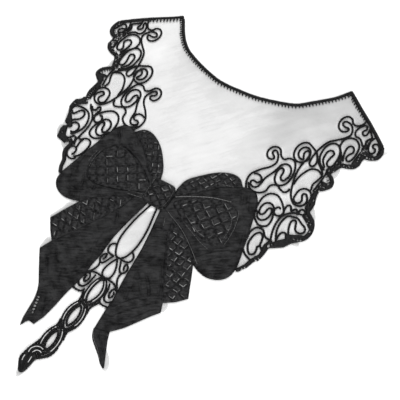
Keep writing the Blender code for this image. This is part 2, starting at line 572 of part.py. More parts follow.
def pieces_of(plan, cut_by=(), tolerance=BORDER_TOLERANCE):
    """The separate pieces of a plan, each as an outer border and its gaps."""
    keep = plan.faces()
    cut = [face for other in cut_by for face in other.faces(SEAM_GAP)]
    points, triangles, holders = triangulate(keep + cut)
    chosen = [triangle for triangle, held in zip(triangles, holders)
              if any(i < len(keep) for i in held) and all(i < len(keep) for i in held)]
    borders = [[points[i] for i in loop] for loop in border_loops(chosen)]
    outers, gaps = [], []
    for border in borders:
        area = signed_area(border)
        if area > SMALLEST_PIECE:
            outers.append(cleaned(border, tolerance))
        elif area < -SMALLEST_GAP:
            gaps.append(cleaned(border, tolerance))
    outers.sort(key=signed_area)
    pieces = [[outer] for outer in outers]
    for gap in gaps:
        holder = next(piece for piece in pieces if inside(gap[0], piece[:1]))
        holder.append(gap)
    return pieces[::-1]


# Solids

def far_from(point, loops):
    """The distance from a point to the nearest border."""
    nearest = 1e9
    for loop in loops:
        array = np.array(loop)
        run = np.roll(array, -1, axis=0) - array
        share = np.sum((point - array) * run, axis=1) / np.maximum(np.sum(run * run, axis=1), 1e-9)
        foot = array + run * np.clip(share, 0, 1)[:, None]
        nearest = min(nearest, float(np.min(np.linalg.norm(foot - point, axis=1))))
    return nearest


def filled(loops, loose=(), ties=()):
    """Triangles inside the loops, with loose points and tied edges kept in them."""
    points, edges = [], []
    for loop in loops:
        first = len(points)
        points += [tuple(map(float, point)) for point in loop]
        edges += [(first + i, first + (i + 1) % len(loop)) for i in range(len(loop))]
    first = len(points)
    points += [tuple(map(float, point)) for point in loose]
    edges += [(first + a, first + b) for a, b in ties]
    result = delaunay_2d_cdt(points, edges, [], 0, 1e-7, True)
    flat = [np.array(tuple(point)) for point in result[0]]
    triangles = [corners for corners in result[2]
                 if inside(sum(flat[corner] for corner in corners) / 3, loops)]
    return flat, triangles


def quilting(loops, pitch):
    """Lattice crossings and cell middles of a diagonal quilting that fit inside the loops."""
    outer = np.array(loops[0])
    low, high = outer.min(axis=0), outer.max(axis=0)
    step = pitch / 2
    columns = int((high[0] - low[0]) / step) + 2
    rows = int((high[1] - low[1]) / step) + 2
    numbers, places, raised = {}, [], []
    for row in range(rows):
        for column in range(columns):
            place = low + np.array([column * step, row * step])
            if inside(place, loops) and far_from(place, loops) > QUILT_MARGIN:
                numbers[column, row] = len(places)
                places.append(place)
                raised.append((column + row) % 2 == 1)
    ties = []
    for (column, row), number in numbers.items():
        if (column + row) % 2 == 0:
            for side in (-1, 1):
                other = numbers.get((column + side, row + 1))
                if other is not None:
                    ties.append((number, other))
    return places, ties, raised


def add_solid(name, loops, bottom, top, material, pitch=0.0, puff=0.0):
    """A closed solid over the loops, plain below and, with a pitch, quilted on top."""
    places, ties, raised = quilting(loops, pitch) if pitch else ([], [], [])
    upper, upper_faces = filled(loops, places, ties)
    lower, lower_faces = filled(loops)
    border = sum(len(loop) for loop in loops)
    mesh = bmesh.new()

    def vertex(point, height):
        return mesh.verts.new(((point[0] - MID_ACROSS) * MM, (MID_DOWN - point[1]) * MM, height * MM))

    tops = []
    for number, point in enumerate(upper):
        lifted = number >= border and raised[number - border]
        tops.append(vertex(point, top + (puff if lifted else 0.0)))
    bottoms = [vertex(point, bottom) for point in lower[:border]]
    for a, b, c in upper_faces:
        mesh.faces.new((tops[a], tops[c], tops[b]))
    for a, b, c in lower_faces:
        mesh.faces.new((bottoms[a], bottoms[b], bottoms[c]))
    first = 0
    for loop in loops:
        for i in range(len(loop)):
            a, b = first + i, first + (i + 1) % len(loop)
            mesh.faces.new((tops[a], tops[b], bottoms[b], bottoms[a]))
        first += len(loop)
    bmesh.ops.recalc_face_normals(mesh, faces=mesh.faces)
    data = bpy.data.meshes.new(name)
    mesh.to_mesh(data)
    mesh.free()
    data.materials.append(material)
    solid = bpy.data.objects.new(name, data)
    bpy.context.collection.objects.link(solid)
    return solid


def add_plan(name, plan, cut_by, bottom, top, material, **quilt):
    """Solids for all the separate pieces of a plan; only the first one goes without a number."""
    for number, loops in enumerate(pieces_of(plan, cut_by)):
        label = name if number == 0 else f"{name}_{number + 1}"
        add_solid(label, loops, bottom, top, material, **quilt)


def make_material(name, colour, roughness, metallic=0.0):
    """A plain Principled material."""
    material = bpy.data.materials.new(name)
    material.use_nodes = True
    shader = material.node_tree.nodes["Principled BSDF"]
    shader.inputs["Base Color"].default_value = (*colour, 1.0)
    shader.inputs["Roughness"].default_value = roughness
    shader.inputs["Metallic"].default_value = metallic
    material.diffuse_color = (*colour, 1.0)
    return material


# Pieces

def edge_line(table):
    """The smooth line of an edge table, with its widths where it has them."""
    return thinned(smooth([tuple(row) for row in table]), EDGE_TOLERANCE)


def outline_of(*tables):
    """A closed outline through tables that follow one another, with corners between them."""
    points = []
    for table in tables:
        points += edge_line(table)[:-1]
    return points


def drawn_in(outline, distance):
    """The outline moved inwards by a distance."""
    points = turned_left([np.array(point[:2]) for point in outline])
    result = []
    for before, point, after in zip(points[-1:] + points[:-1], points, points[1:] + points[:1]):
        run = after - before
        result.append(point + distance * np.array([-run[1], run[0]]) / np.linalg.norm(run))
    return result


def knot_outline():
    """The knot: a rectangle with round corners, drawn as a squared-off circle."""
    points = []
    for angle in np.radians(np.arange(0, 360, KNOT_STEP_DEGREES)):
        across = abs(math.cos(angle)) ** KNOT_SQUARENESS * math.copysign(1, math.cos(angle))
        down = abs(math.sin(angle)) ** KNOT_SQUARENESS * math.copysign(1, math.sin(angle))
        points.append(np.array([KNOT_MID.across + KNOT_HALF_ACROSS * across,
                                KNOT_MID.down + KNOT_HALF_DOWN * down]))
    return points


def same(table):
    """The table as it is, for the right side."""
    return list(table)


SIDES = {"left": mirrored, "right": same}


def bow_plans():
    """The plans of the bow's pieces, by name."""
    plans = {"bow_knot": Footprint(outlines=[knot_outline()])}
    for side, of in SIDES.items():
        inset = thinned(smooth([tuple(row) for row in of(LOOP_INSET)], closed=True), EDGE_TOLERANCE)
        split = of(LOOP_SPLIT)
        crest = of(LOOP_CREST)
        foot = of(LOOP_FOOT)
        plans[f"loop_inset_{side}"] = Footprint(outlines=[inset])
        plans[f"loop_back_{side}"] = Footprint(outlines=[outline_of(crest, split, [split[-1], crest[0]])])
        plans[f"loop_front_{side}"] = Footprint(outlines=[
            outline_of(split[::-1], of(LOOP_SIDE), foot, [foot[-1], split[-1]])])
        tail_split = of(TAIL_SPLIT)
        under_loop = of([TAIL_SPLIT[0], TAIL_UNDER_LOOP, TAIL_QUILT_SIDE[0]])
        plans[f"tail_quilt_{side}"] = Footprint(outlines=[
            outline_of(of(TAIL_QUILT_SIDE), of(TAIL_QUILT_END), tail_split[::-1], under_loop)])
        corner = of([TAIL_SPLIT[-1], TAIL_CORNER])
        inner = of(TAIL_INNER)
        if side == "left":
            lower = [LEFT_TIP_OUTER, LEFT_TIP_END, LEFT_TIP_INNER]
        else:
            lower = [TAIL_OUTER, [TAIL_OUTER[-1], TAIL_INNER[-1]]]
        plans[f"tail_plain_{side}"] = Footprint(outlines=[
            outline_of(tail_split, corner, *lower, inner[::-1], [inner[0], tail_split[0]])])
    plans["tail_tip_right"] = Footprint(outlines=[outline_of(RIGHT_TIP + RIGHT_TIP[:1])])
    return plans


def edge_plans():
    """The plans of the corded and satin-stitched edges, by name."""
    plans = {"neck_edge": Footprint(bands=[(edge_line(NECKLINE), NECK_EDGE_WIDTH)])}
    for side, of in SIDES.items():
        plans[f"shoulder_edge_{side}"] = Footprint(bands=[(edge_line(of(SHOULDER)), SHOULDER_EDGE_WIDTH)])
        lines = [edge_line(of(table)) for table in [SCALLOPS] + FILLINGS]
        plans[f"scallop_edge_{side}"] = Footprint(bands=[(line, 0.0) for line in lines])
    return plans


def scroll_plan(of):
    """The plan of one side's scrollwork."""
    return Footprint(bands=[(line_of(of(route)), CORD_WIDTH) for route in SCROLLS])


def pendant_plan():
    """The plan of the pendant's cords."""
    bands = [(lens_line(PENDANT_DROP), PENDANT_DROP.width), (line_of(PENDANT_TEAR), CORD_WIDTH)]
    bands += [(lens_line(lens), lens.width) for lens in CHAIN]
    for of in SIDES.values():
        for route in (PENDANT_EAR, PENDANT_CURL, PENDANT_BAR, PENDANT_CUFF, PENDANT_HEM):
            bands.append((line_of(of(route)), CORD_WIDTH))
    return Footprint(bands=bands)


def ground_plan():
    """The plan of the sheer mesh under everything."""
    right = edge_line(SCALLOPS)
    left = edge_line(mirrored(SCALLOPS))
    under_bow = [np.array(spot) for spot in MESH_UNDER_BOW + mirrored(MESH_UNDER_BOW)[::-1]]
    yoke = edge_line(NECKLINE) + edge_line(SHOULDER) + right + under_bow
    yoke += left[::-1] + edge_line(mirrored(SHOULDER))[::-1]
    inner = 2 * MESH_INSET
    bands = [(edge_line(NECKLINE), NECK_EDGE_WIDTH - inner), (right, -inner), (left, -inner)]
    for of in SIDES.values():
        bands.append((edge_line(of(SHOULDER)), SHOULDER_EDGE_WIDTH - inner))
    outlines = [[point[:2] for point in yoke], drawn_in(outline_of(PENDANT_GROUND), MESH_INSET)]
    for side, of in SIDES.items():
        loop = outline_of(of(LOOP_CREST), of(LOOP_SIDE), of(LOOP_FOOT), of([LOOP_FOOT[-1], LOOP_CREST[0]]))
        into_loop = of([TAIL_INNER[0], *MESH_UNDER_LOOP, TAIL_QUILT_SIDE[0]])
        if side == "left":
            lower = [LEFT_TIP_OUTER, LEFT_TIP_END, LEFT_TIP_INNER]
        else:
            lower = [TAIL_OUTER, RIGHT_TIP]
        tail = outline_of(of(TAIL_QUILT_SIDE), of(TAIL_QUILT_END), of([TAIL_SPLIT[-1], TAIL_CORNER]),
                          *lower, of(TAIL_INNER)[::-1], into_loop)
        outlines += [drawn_in(loop, MESH_INSET), drawn_in(tail, MESH_INSET)]
    return Footprint(bands=bands, outlines=outlines)


def main():
    for thing in list(bpy.data.objects):
        bpy.data.objects.remove(thing, do_unlink=True)
    sheer = make_material("sheer_mesh", (0.82, 0.82, 0.80), 0.75)
    satin = make_material("black_satin", (0.030, 0.030, 0.033), 0.38)
    cord = make_material("black_cord", (0.020, 0.020, 0.022), 0.60)

    bow = bow_plans()
    edges = edge_plans()
    add_plan("mesh_ground", ground_plan(), [], 0.0, MESH_THICK, sheer)

    laid = []
    for name, plan in edges.items():
        add_plan(name, plan, laid + [bow["loop_front_left"], bow["loop_front_right"]],
                 LAID_ON, EDGE_TOP, cord)
        laid.append(plan)
    for name, plan in bow.items():
        kind, side = name.rsplit("_", 1)
        piece = BOW_PIECES[kind]
        cut_by = [bow[label.format(side=side)] for label in piece.cut_first]
        add_plan(name, plan, cut_by, LAID_ON, piece.top, satin, pitch=piece.pitch, puff=piece.puff)
    on_bow = list(bow.values())
    for side, of in SIDES.items():
        add_plan(f"scroll_{side}", scroll_plan(of), laid + on_bow, LAID_ON, CORD_TOP, cord)
    pendant = pendant_plan()
    add_plan("pendant_cord", pendant, on_bow, LAID_ON, CORD_TOP, cord)
    add_plan("pendant_tip", Footprint(outlines=[outline_of(PENDANT_TIP + PENDANT_TIP[:1])]), [pendant],
             LAID_ON, PLAIN_TOP, satin)


main()
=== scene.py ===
"""Looks of the detachable collar: sheer mesh, couched cords, satin-stitched edges and a satin bow.

Plan sizes are in millimetres, across from the centre line and down from the shoulder line.
Heights are in millimetres above the surface that the collar lies on.
"""
import math
from collections import namedtuple

import bpy
import numpy as np
from mathutils import Matrix, Vector
from mathutils.geometry import delaunay_2d_cdt
from mathutils.kdtree import KDTree


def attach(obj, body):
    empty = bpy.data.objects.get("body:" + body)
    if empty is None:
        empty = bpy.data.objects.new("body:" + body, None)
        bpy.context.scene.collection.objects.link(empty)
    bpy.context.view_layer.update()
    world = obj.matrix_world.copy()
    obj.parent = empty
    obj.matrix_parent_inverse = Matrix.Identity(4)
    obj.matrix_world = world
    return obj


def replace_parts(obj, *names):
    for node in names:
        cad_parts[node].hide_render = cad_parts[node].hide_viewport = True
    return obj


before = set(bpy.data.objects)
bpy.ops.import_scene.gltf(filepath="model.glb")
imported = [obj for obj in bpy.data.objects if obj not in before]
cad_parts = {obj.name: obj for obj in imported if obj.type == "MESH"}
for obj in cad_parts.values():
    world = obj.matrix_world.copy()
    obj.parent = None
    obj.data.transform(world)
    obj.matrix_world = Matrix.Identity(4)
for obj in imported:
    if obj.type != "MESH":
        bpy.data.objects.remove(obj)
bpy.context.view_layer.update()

MM = 0.001
TINY = 1e-9

# Frame: the point of the plan that lies over the origin
MID_ACROSS = 0.76
MID_DOWN = 204.86

# Steps of lines and nets
CURL_STEP_DEGREES = 40
LENS_POINTEDNESS = 1.35
BORDER_STEP = 0.3
YOKE_STEP = 1.8
EDGE_STEP = 0.36
LEAF_STEP = 0.4
SLIP_STEP = 0.9

# Cords and their couching threads
CORD_RADIUS = 1.0
PENDANT_RADIUS = 0.94
LEAF_RADIUS = 0.9
CORD_CENTRE = 1.45
LEAF_CORD_CENTRE = 2.4
CORD_STAGGER = 0.05
CORD_STEP = 0.42
CORD_RIPPLE = 0.06
# How deep a cord sinks where it goes under the bow, and over how many points
CORD_SINK = 0.4
SINK_RUN = 9
# How many points in a row have to be hidden before a cord is left out
HIDDEN_RUN = 13
TWISTS_PER_MM = 0.36
TWIST_LOBE = 0.13
COUCHING_PITCH = 2.6
COUCHING_RADIUS = 0.24
LIGHT_RADIUS = 0.42
CHAIN_LIGHT_HEIGHT = 1.95
LEAF_LIGHT_HEIGHT = 2.85

# Heights of the laid pieces
YOKE_HEIGHT = 0.72
SLIP_HEIGHT = 0.9
BARE_LEVEL = 1.6
SKIRT = 1.05
RIM_HEIGHT = 1.5
INSET_RIM = 2.3
KNOT_RIM = 2.9

# Satin panels: how far the plain tails reach up under the loops, and their gaps and creases
TAIL_REACH = 4.5
TAIL_TOP = 221.0
HOLE_SIZE = 1.6
CREASE_WIDTH = 0.72
CREASE_DEPTH = 2.1

# Threads of a quilted cell: how far out they start, their length as shares of a side, their radii. The
# light threads are painted glints on the puffs' lower edges.
CELL_INNER = (0.64, 0.78)
GLINT_LENGTH = (0.55, 1.0)
GLINT_THREAD = (0.22, 0.36)
BRIGHT_GLINT_SHARE = 0.55
DARK_THREAD = 0.26
GROOVE_PARTS = ((0.1, 0.45), (0.55, 0.92))

# Satin-stitched bands: their top, and the pitch and depth of their threads
EDGE_BAND = (2.75, 1.35, 0.14)
LEAF_BAND = (2.5, 0.9, 0.06)
# Blanket stitches: the side of the line they are on, their pitch, lean and reach, and their radii
NECK_TEETH = (1, 3.4, 0.12, 4.1)
SHOULDER_TEETH = {"left": (-1, 3.5, 0.4, 4.9), "right": (1, 3.5, 0.6, 4.0)}
SHOULDER_TEETH_END = 34
TOOTH_RADIUS = (0.72, 0.84)
LOBE_THREAD_RADIUS = 0.62

# Mesh made thinner along the cords, a painted lightening that offsets the shade the cords cast on it: how
# far from a cord in full, how far at all, and its density
SHADE_OFFSET_NEAR = 1.8
SHADE_OFFSET_FAR = 3.3
SHADE_OFFSET_DENSITY = 0.5

# Turns of the satin's streaks and of the mesh's folds, in degrees
STREAK_TURN = -30
CROSSING_TURN = 34
FOLD_TURN = -51
# Scale at which the bands of a wave texture are one unit apart
WAVE_PERIOD = math.tau / 20

# A curl is part of an oval that a cord runs round, and all other steps of a route are plain spots
Curl = namedtuple("Curl", "across down half_across half_down start turn")
# A satin panel: its net, the height of its top and of its rim
Panel = namedtuple("Panel", "step top rim")
PANELS = {
    "loop_back": Panel(0.55, 2.1, RIM_HEIGHT),
    "loop_front": Panel(0.62, 2.45, RIM_HEIGHT),
    "loop_inset": Panel(0.5, 2.9, INSET_RIM),
    "tail_quilt": Panel(0.55, 2.1, RIM_HEIGHT),
    "tail_plain": Panel(0.55, 2.1, RIM_HEIGHT),
    "tail_tip": Panel(0.5, 2.6, RIM_HEIGHT),
    "bow_knot": Panel(0.45, 4.1, KNOT_RIM),
}

# Middle of the corded neckline, from the left shoulder to the right
NECKLINE = [
    (-98.6, 5.2), (-89.6, 17.2), (-79.6, 31), (-69.4, 41), (-59.2, 46.6), (-40, 54.2), (-20, 59.4),
    (0, 59.5), (20.5, 57.6), (40.5, 52.6), (60.8, 44.6), (71.2, 35.6), (81.4, 26.2), (91.5, 15.8),
    (101, 2.2),
]
# Middle of the shoulder edge
SHOULDER = [(101, 3), (113.5, 12.5), (128.5, 23.5), (143, 35), (154.5, 45)]
# Middle of the satin-stitched scallops, from the shoulder down to the bow
SCALLOPS = [
    (155.3, 46.5), (157.3, 53), (155.8, 59.5), (150.5, 63.4), (144.6, 64.8), (142.6, 69.5), (142.6, 75.5),
    (140.3, 80.3), (135.8, 83), (130.4, 84.8), (127.4, 89.5), (125.8, 94.5), (124, 99.4), (128.6, 102.6),
    (132.2, 107), (132.4, 112.2), (128.8, 116.4), (124.4, 120.6), (124.6, 127), (125.6, 133.5),
    (125.8, 140.5), (125.4, 146.5), (129.6, 150), (134, 154), (136.8, 160.5), (137.2, 167), (134.8, 173.4),
    (130, 177.6), (124.8, 182), (120.4, 187.8), (115, 192.6), (110.6, 197), (110.2, 203.5), (109, 210.5),
    (105.4, 217), (103.2, 224), (98.6, 231.5),
]
# Dense satin fillings along the inner side of the scallops
FILLINGS = [
    [(143.6, 42.5), (140.6, 47), (141.6, 52), (141.4, 58.5), (147, 61.2), (152, 60.6)],
    [(140.6, 62), (139.8, 70), (138.6, 78)],
    [(126.2, 76), (126, 84), (124.6, 91), (121.4, 97)],
    [(123.4, 111.4), (127.4, 113.6), (123.4, 118)],
    [(121.6, 124.6), (122.6, 134), (122.6, 144)],
    [(124.4, 151.6), (130, 154.6), (134.4, 160)],
    [(133, 172.4), (126.6, 176.2), (121.4, 179.4)],
    [(110.8, 191), (108.6, 197.4), (108, 203)],
]

# Routes of the cords, each laid through its spots and round its curls
SCROLLS = {
    "crown hook": [
        (129.6, 25.5), (127.6, 32), (122.6, 36.1), (118.6, 34.8), Curl(113.2, 39.5, 6.5, 9.7, 300, -252),
        (118.2, 43), Curl(113.6, 39.5, 3.4, 3.3, 90, 180), (118.2, 37.6), (121.9, 42.5), (122.8, 48),
        (120.4, 53.5), (114, 60.6), (108.4, 66.2), (105.2, 73), (103, 82), (102, 90),
        Curl(105.3, 96, 3.1, 4.6, 180, -190), (106.8, 89.5), (103.4, 83.6),
    ],
    "shoulder hook": [
        (135.4, 28.5), (136.4, 34.5), Curl(134, 39, 2.5, 3.4, 0, 180), (133.6, 34.6),
        Curl(131.4, 33.4, 2.1, 2.4, 0, -150), (126.2, 37.5), (125.3, 42.5), (127.4, 47.2), (132.4, 48),
        (135.4, 50.6), (138.2, 54.2), (140.2, 52), (139, 48), (140.2, 44.4), (142.2, 41.2), (139.4, 36.8),
        (136.2, 32.4),
    ],
    "top lobe": [
        (145.6, 38.4), (143.2, 43.5), (143, 49), Curl(148, 54.2, 3.2, 4, 150, -190), (147.6, 50.8),
        Curl(149.8, 48.8, 3.1, 3.4, 180, 120), (154.2, 50), (154.8, 57),
    ],
    "upper oval": [
        (128.4, 83), (124.8, 74.2), (120.4, 67.4), Curl(128, 62, 9, 11.2, 160, 165), (137, 63.5),
        (136.7, 70.5), Curl(133, 73.8, 2.7, 3.8, 20, 185), (131.7, 69.4), Curl(130, 65, 3.6, 4.9, 20, -200),
        (127, 72.6), (129.4, 80),
    ],
    "middle oval": [
        (118.6, 98.4), (112.4, 94.2), (107.8, 86), Curl(115.6, 79.5, 8.4, 14.2, 165, 190), (123.9, 84.5),
        Curl(120.2, 88.4, 3.3, 4.1, 0, 170), (117.4, 83), Curl(115.6, 80.4, 4, 5.9, 320, -150),
        (112.4, 88.5), (117.6, 95.8),
    ],
    "shoulder spiral": [
        (103, 83.5), Curl(92.2, 90.6, 8.3, 12.3, 305, -285), (99.6, 93),
        Curl(93.6, 90.9, 5.5, 7.5, 350, -280), Curl(96, 91.6, 2.7, 5.1, 185, 165), (98.4, 98),
    ],
    "leaf": [
        (104.6, 86), (108.8, 92.4), (116.4, 99.4), (119.6, 104.4), (118.6, 111), (116.5, 118),
        (117.6, 124.6),
    ],
    "leaf side": [(118.8, 104), (112.8, 101.4), (106.8, 104.2), (103, 111.4), (100.9, 119), (100.6, 127.6)],
    "side line": [(121.4, 99), (122, 106), (121.4, 113.5), (119.8, 124.6)],
    "lower spiral": [
        (98.4, 96.5), (97, 106.5), (97.5, 117), (99.8, 128), (103.6, 138.4),
        Curl(112.6, 138.2, 7.2, 8, 140, -190), Curl(115.2, 133.4, 2.1, 2.6, 300, -130),
        Curl(111.4, 139.2, 3.9, 4.5, 350, 170), Curl(114.6, 134.4, 7.3, 9, 170, 200), (122, 141),
    ],
    "breast hook": [
        (64.4, 155), (60.6, 147), (60.4, 138), (66, 128.6), (72.6, 121), (75.2, 113.6), (72.6, 105.8),
        Curl(68.6, 105, 2.2, 2.7, 290, -160), Curl(67.8, 110.8, 2.9, 3, 340, 130),
        Curl(68.4, 106.2, 6.5, 8.2, 115, 185), (75.6, 105.2), (79.8, 107.2), (84, 103.6), (89.4, 103.8),
        (93.8, 111.2), Curl(88, 122.6, 7.5, 13.2, 0, 175), Curl(83.4, 121.4, 2.7, 4.6, 190, 160),
        Curl(89, 124.6, 2.9, 4.6, 170, -165), Curl(86, 120.6, 6.9, 10, 15, -195), (77.2, 127), (74.2, 135),
        Curl(68.6, 143, 4.9, 6.5, 0, 150), Curl(66.8, 145.2, 2.5, 2.2, 190, 90),
        Curl(66.8, 139.4, 5.4, 4.7, 60, -200),
    ],
    "breast line": [
        (62.6, 147.6), (67.4, 152.6), (75.6, 152.8), (81, 147.8), (82.4, 139.6), (87.6, 136.4), (92, 138.6),
        Curl(95.6, 134.4, 4.2, 5.4, 120, -130),
    ],
    "arch": [
        (82.6, 170), (82, 160), Curl(92, 156.4, 9.6, 10.8, 195, 120), (103.4, 153.4), (106.6, 158.6),
        Curl(102.2, 160.4, 4.2, 4.6, 20, 230), (102.8, 157.2),
    ],
    "under curl": [
        (98.6, 164), Curl(92, 163.8, 6.1, 7.2, 330, -150), Curl(89, 166.4, 3, 5, 180, -165), (92.6, 162.6),
        (94.6, 160.9), Curl(91.2, 167.4, 6.1, 9.4, 330, 185), (83.2, 168.6),
    ],
    "under line": [(83.4, 172), (86.4, 177.4), (93.4, 182), (99.8, 179.4), (100.9, 171.4), (98.8, 163.4)],
    "lobe outer": [(122.6, 152.2), (114.6, 154.6), (107.8, 161.6), (106, 171), (107.2, 181), (110, 190.6)],
    "lobe inner": [
        (114.6, 189), (110.2, 178.6), (109.6, 167.6), (112.4, 160), Curl(119.6, 162.8, 5, 5.4, 240, 60),
        (127, 161), Curl(127.8, 166.2, 4.7, 4.6, 300, 240), Curl(119.8, 164.4, 2.6, 3.6, 0, -180),
        (119, 172.4), (122.6, 179),
    ],
    "lobe arch": [(114, 188), Curl(117.6, 181, 3.5, 4, 180, 150)],
    "wave": [
        (106.2, 158.4), Curl(108.4, 152.4, 2.4, 3.2, 180, 160), (111.8, 153.6),
        Curl(115.4, 152.6, 2.2, 2.6, 200, 140), (118.6, 154.8),
    ],
    "ring": [Curl(121.6, 150.2, 3, 3.3, 110, 290)],
    "low oval": [
        (110.6, 213.8), (106.6, 212.2), Curl(106, 206.4, 2.9, 5.2, 60, -90), (104.4, 199.4),
        Curl(99.2, 197.4, 4.7, 9.2, 345, -165), (95.2, 204.6), Curl(101, 207.4, 3.2, 4.8, 130, -150),
        (103.2, 202), (105.2, 200.2),
    ],
    "low line": [(91.4, 200), (90.4, 192), (93.4, 185.2), (99.4, 184.6), (104.4, 189.8), (109.8, 190.4)],
    "low tie": [(96.2, 184.6), (96.6, 181.4)],
    "low foot": [(92.4, 209.4), (98, 214.8), (106.6, 217.6)],
}
# How many of these both sides have, mirrored
MIRRORED_SCROLLS = 15
# Cords at the foot of the left side, which were laid differently
LEFT_FOOT = [
    [(-118.4, 150), (-115.6, 154.4), (-111, 158.4), (-107.2, 163.6), (-105.2, 170), (-104.6, 177),
     (-105.2, 185), (-105.2, 188.4), (-102.6, 190.2), (-99.4, 187.2), (-95.5, 186), (-92, 188),
     (-90.6, 193), (-91, 200), (-93.4, 207), (-96.8, 210.6)],
    [(-131.6, 164.4), (-130.6, 160.6), (-127, 158.4), (-121, 158), (-115.2, 159.8), (-111.2, 164),
     (-108.8, 170), (-108, 176), (-109.2, 181.8), (-112, 187.2), (-115.4, 189.6)],
    [(-129.6, 166), (-127, 168.8), (-124.7, 165.8), (-122.8, 162.2), (-119.8, 160.8), (-117.1, 163),
     (-116.4, 167.4), (-118, 171.4), (-121.6, 174), (-123.8, 177), (-124.4, 181.6)],
    [(-121.8, 179.6), (-119, 176.6), (-115, 176.2), (-112.2, 179), (-111.9, 183.4), (-113.8, 186.8),
     (-116.8, 187.2)],
    [(-122.4, 178.6), (-122.4, 187), (-120.6, 192.6), (-117, 195.4), (-113, 193.8), (-110.4, 190.2),
     (-107.9, 190.6), (-106.4, 194), (-107, 198)],
    [(-115.6, 151.4), (-113.2, 154.6), (-110.2, 153.4), (-109.6, 149.6), (-107.4, 148.6), (-106, 151),
     (-106.8, 155.4), (-107.6, 160)],
    [(-99.8, 188), (-100.8, 194), (-100.2, 199.6)],
    [(-99.6, 209.8), (-98.5, 206), (-98.9, 202), (-101.6, 199.9), (-104.6, 200.8), (-105.9, 205.6),
     (-104.4, 210.6), (-100.6, 213.5), (-96.4, 213.4), (-93.8, 210)],
    [(-105.4, 188.4), (-105.8, 193), (-104.2, 198.6)],
]

# Pendant below the knot: a long corded drop, side curls, and a chain of double-corded lenses
PENDANT_CENTRE = [
    [(-3.2, 215.6), (-5, 222.4), (-6.8, 231), (-8.1, 240), (-8.9, 250), (-8.8, 259), (-7.2, 266.6),
     (-4.6, 272.6), (-1.6, 275.8), (2.2, 275.9), (5.6, 272.8), (8, 266.6), (9.2, 259), (9.2, 249),
     (8.1, 239), (6.4, 230), (4.6, 222), (3.4, 215.6)],
    [(0.5, 277.4), (-1.7, 281.2), (-3.6, 286), (-4.5, 291.4), (-3.3, 296.6), (0.8, 298.6), (4.9, 296.6),
     (6, 291.2), (4.9, 286), (2.7, 281.2), (0.7, 277.6)],
]
PENDANT_SIDE = [
    [(8.2, 265.8), (10.4, 266.2), (12.4, 268.4), (13, 272), (11.6, 275.2), (8, 276.4), (3.4, 276.8)],
    [(4.4, 277.2), (6.4, 281), (8.4, 285.4), (10.8, 287.6), (13.4, 286.2), (14.4, 282.8), (13.4, 279.2),
     (11, 277.9), (10.5, 280.6), (11.8, 284.4)],
    [(12.2, 287.6), (11.5, 291), (12.2, 295), (14.8, 299.6), (17.4, 303)],
    [(0.4, 298.8), (8.6, 298.6), (13.6, 300.2), (17.2, 303.6), (18.6, 308)],
    [(8, 300.6), (9.2, 306), (9.8, 311.6), (12.4, 316.2), (16.4, 316.4), (18.9, 313.6)],
    [(16.4, 303.8), (14.4, 302.6), (12.6, 304.8), (12.5, 309.4), (14.2, 312), (15.9, 310.2), (15.9, 306.6),
     (14.7, 305.6)],
    [(8.6, 316.8), (10.6, 320.2), (14.6, 321), (19.2, 320.4)],
]
# Lenses of the chain: across, down, half across, half down
CHAIN = [
    (1, 313.2, 4.6, 12.4), (0.9, 313.8, 7.6, 15.4), (-1.2, 341.4, 3.7, 10.4), (-1.1, 341.6, 6.1, 14),
    (-1, 341.6, 8.7, 16.6), (-4.8, 369.8, 3.3, 10), (-4.8, 370, 5.4, 13.4), (-4.8, 370.2, 8.2, 16.6),
]
# Cords along the outside of the chain, where its links meet
CHAIN_SIDES = [
    [(10.4, 320.5), (7.6, 326), (6.6, 330), (7.4, 335.5)],
    [(-8.6, 318.5), (-6.2, 324.5), (-5.8, 329.5), (-8.4, 335)],
    [(-9.2, 349), (-8.6, 355), (-9.8, 360), (-12.2, 366)],
    [(6.2, 348), (3.2, 354), (2.6, 359), (3.8, 365)],
    [(4, 372), (3.2, 378), (1.6, 382), (-1.4, 385), (-5.2, 388.4)],
    [(-12.8, 372), (-14.6, 378), (-16.8, 384), (-18, 390)],
]
# Light threads between the cords of the chain, with the turns they span in degrees
CHAIN_LIGHTS = [
    ((0.9, 313.6, 6.1, 14), 130, 225), ((0.9, 313.6, 6.1, 14), -60, 40), ((-1, 341.6, 7.4, 15.4), 150, 230),
    ((-1, 341.6, 7.4, 15.4), -40, 30), ((-4.8, 370, 6.8, 15.2), 140, 235),
    ((-4.8, 370, 6.8, 15.2), -58, 36),
]
LEAF_CORDS = [
    [(-18, 391), (-16.4, 384.6), (-13, 379.6), (-8.6, 377.6), (-3.4, 378.2)],
    [(-13.6, 389), (-13.6, 384.4), (-10.6, 381.2), (-6.6, 381), (-3, 383.6)],
    [(-11.4, 388.6), (-10.2, 385.4), (-6.8, 384.2), (-3.6, 386)],
    [(-18.3, 391), (-17.9, 396), (-14.4, 401), (-11.2, 404.4)],
    [(-7.6, 389.6), (-8.2, 395), (-9.2, 400), (-10.6, 404.6)],
    [(-13.4, 389), (-13, 394), (-12.2, 399), (-11.4, 403.4)],
]
LEAF_LIGHTS = [
    [(-14.9, 388), (-14.8, 384), (-12, 380.6), (-8.4, 379.4), (-5.4, 379.9)],
    [(-11.8, 386.6), (-9.9, 383.3), (-6.6, 382.6), (-5, 383.2)],
    [(-15.9, 391.6), (-15.8, 394), (-15.2, 396.4)],
    [(-10, 390), (-9.8, 393), (-9.7, 395.6)],
]
# Line that the threads of the leaf lie across
LEAF_MIDDLE = [(-5.0, 381.0), (-9.5, 386.0), (-13.0, 393.0), (-12.0, 404.0)]

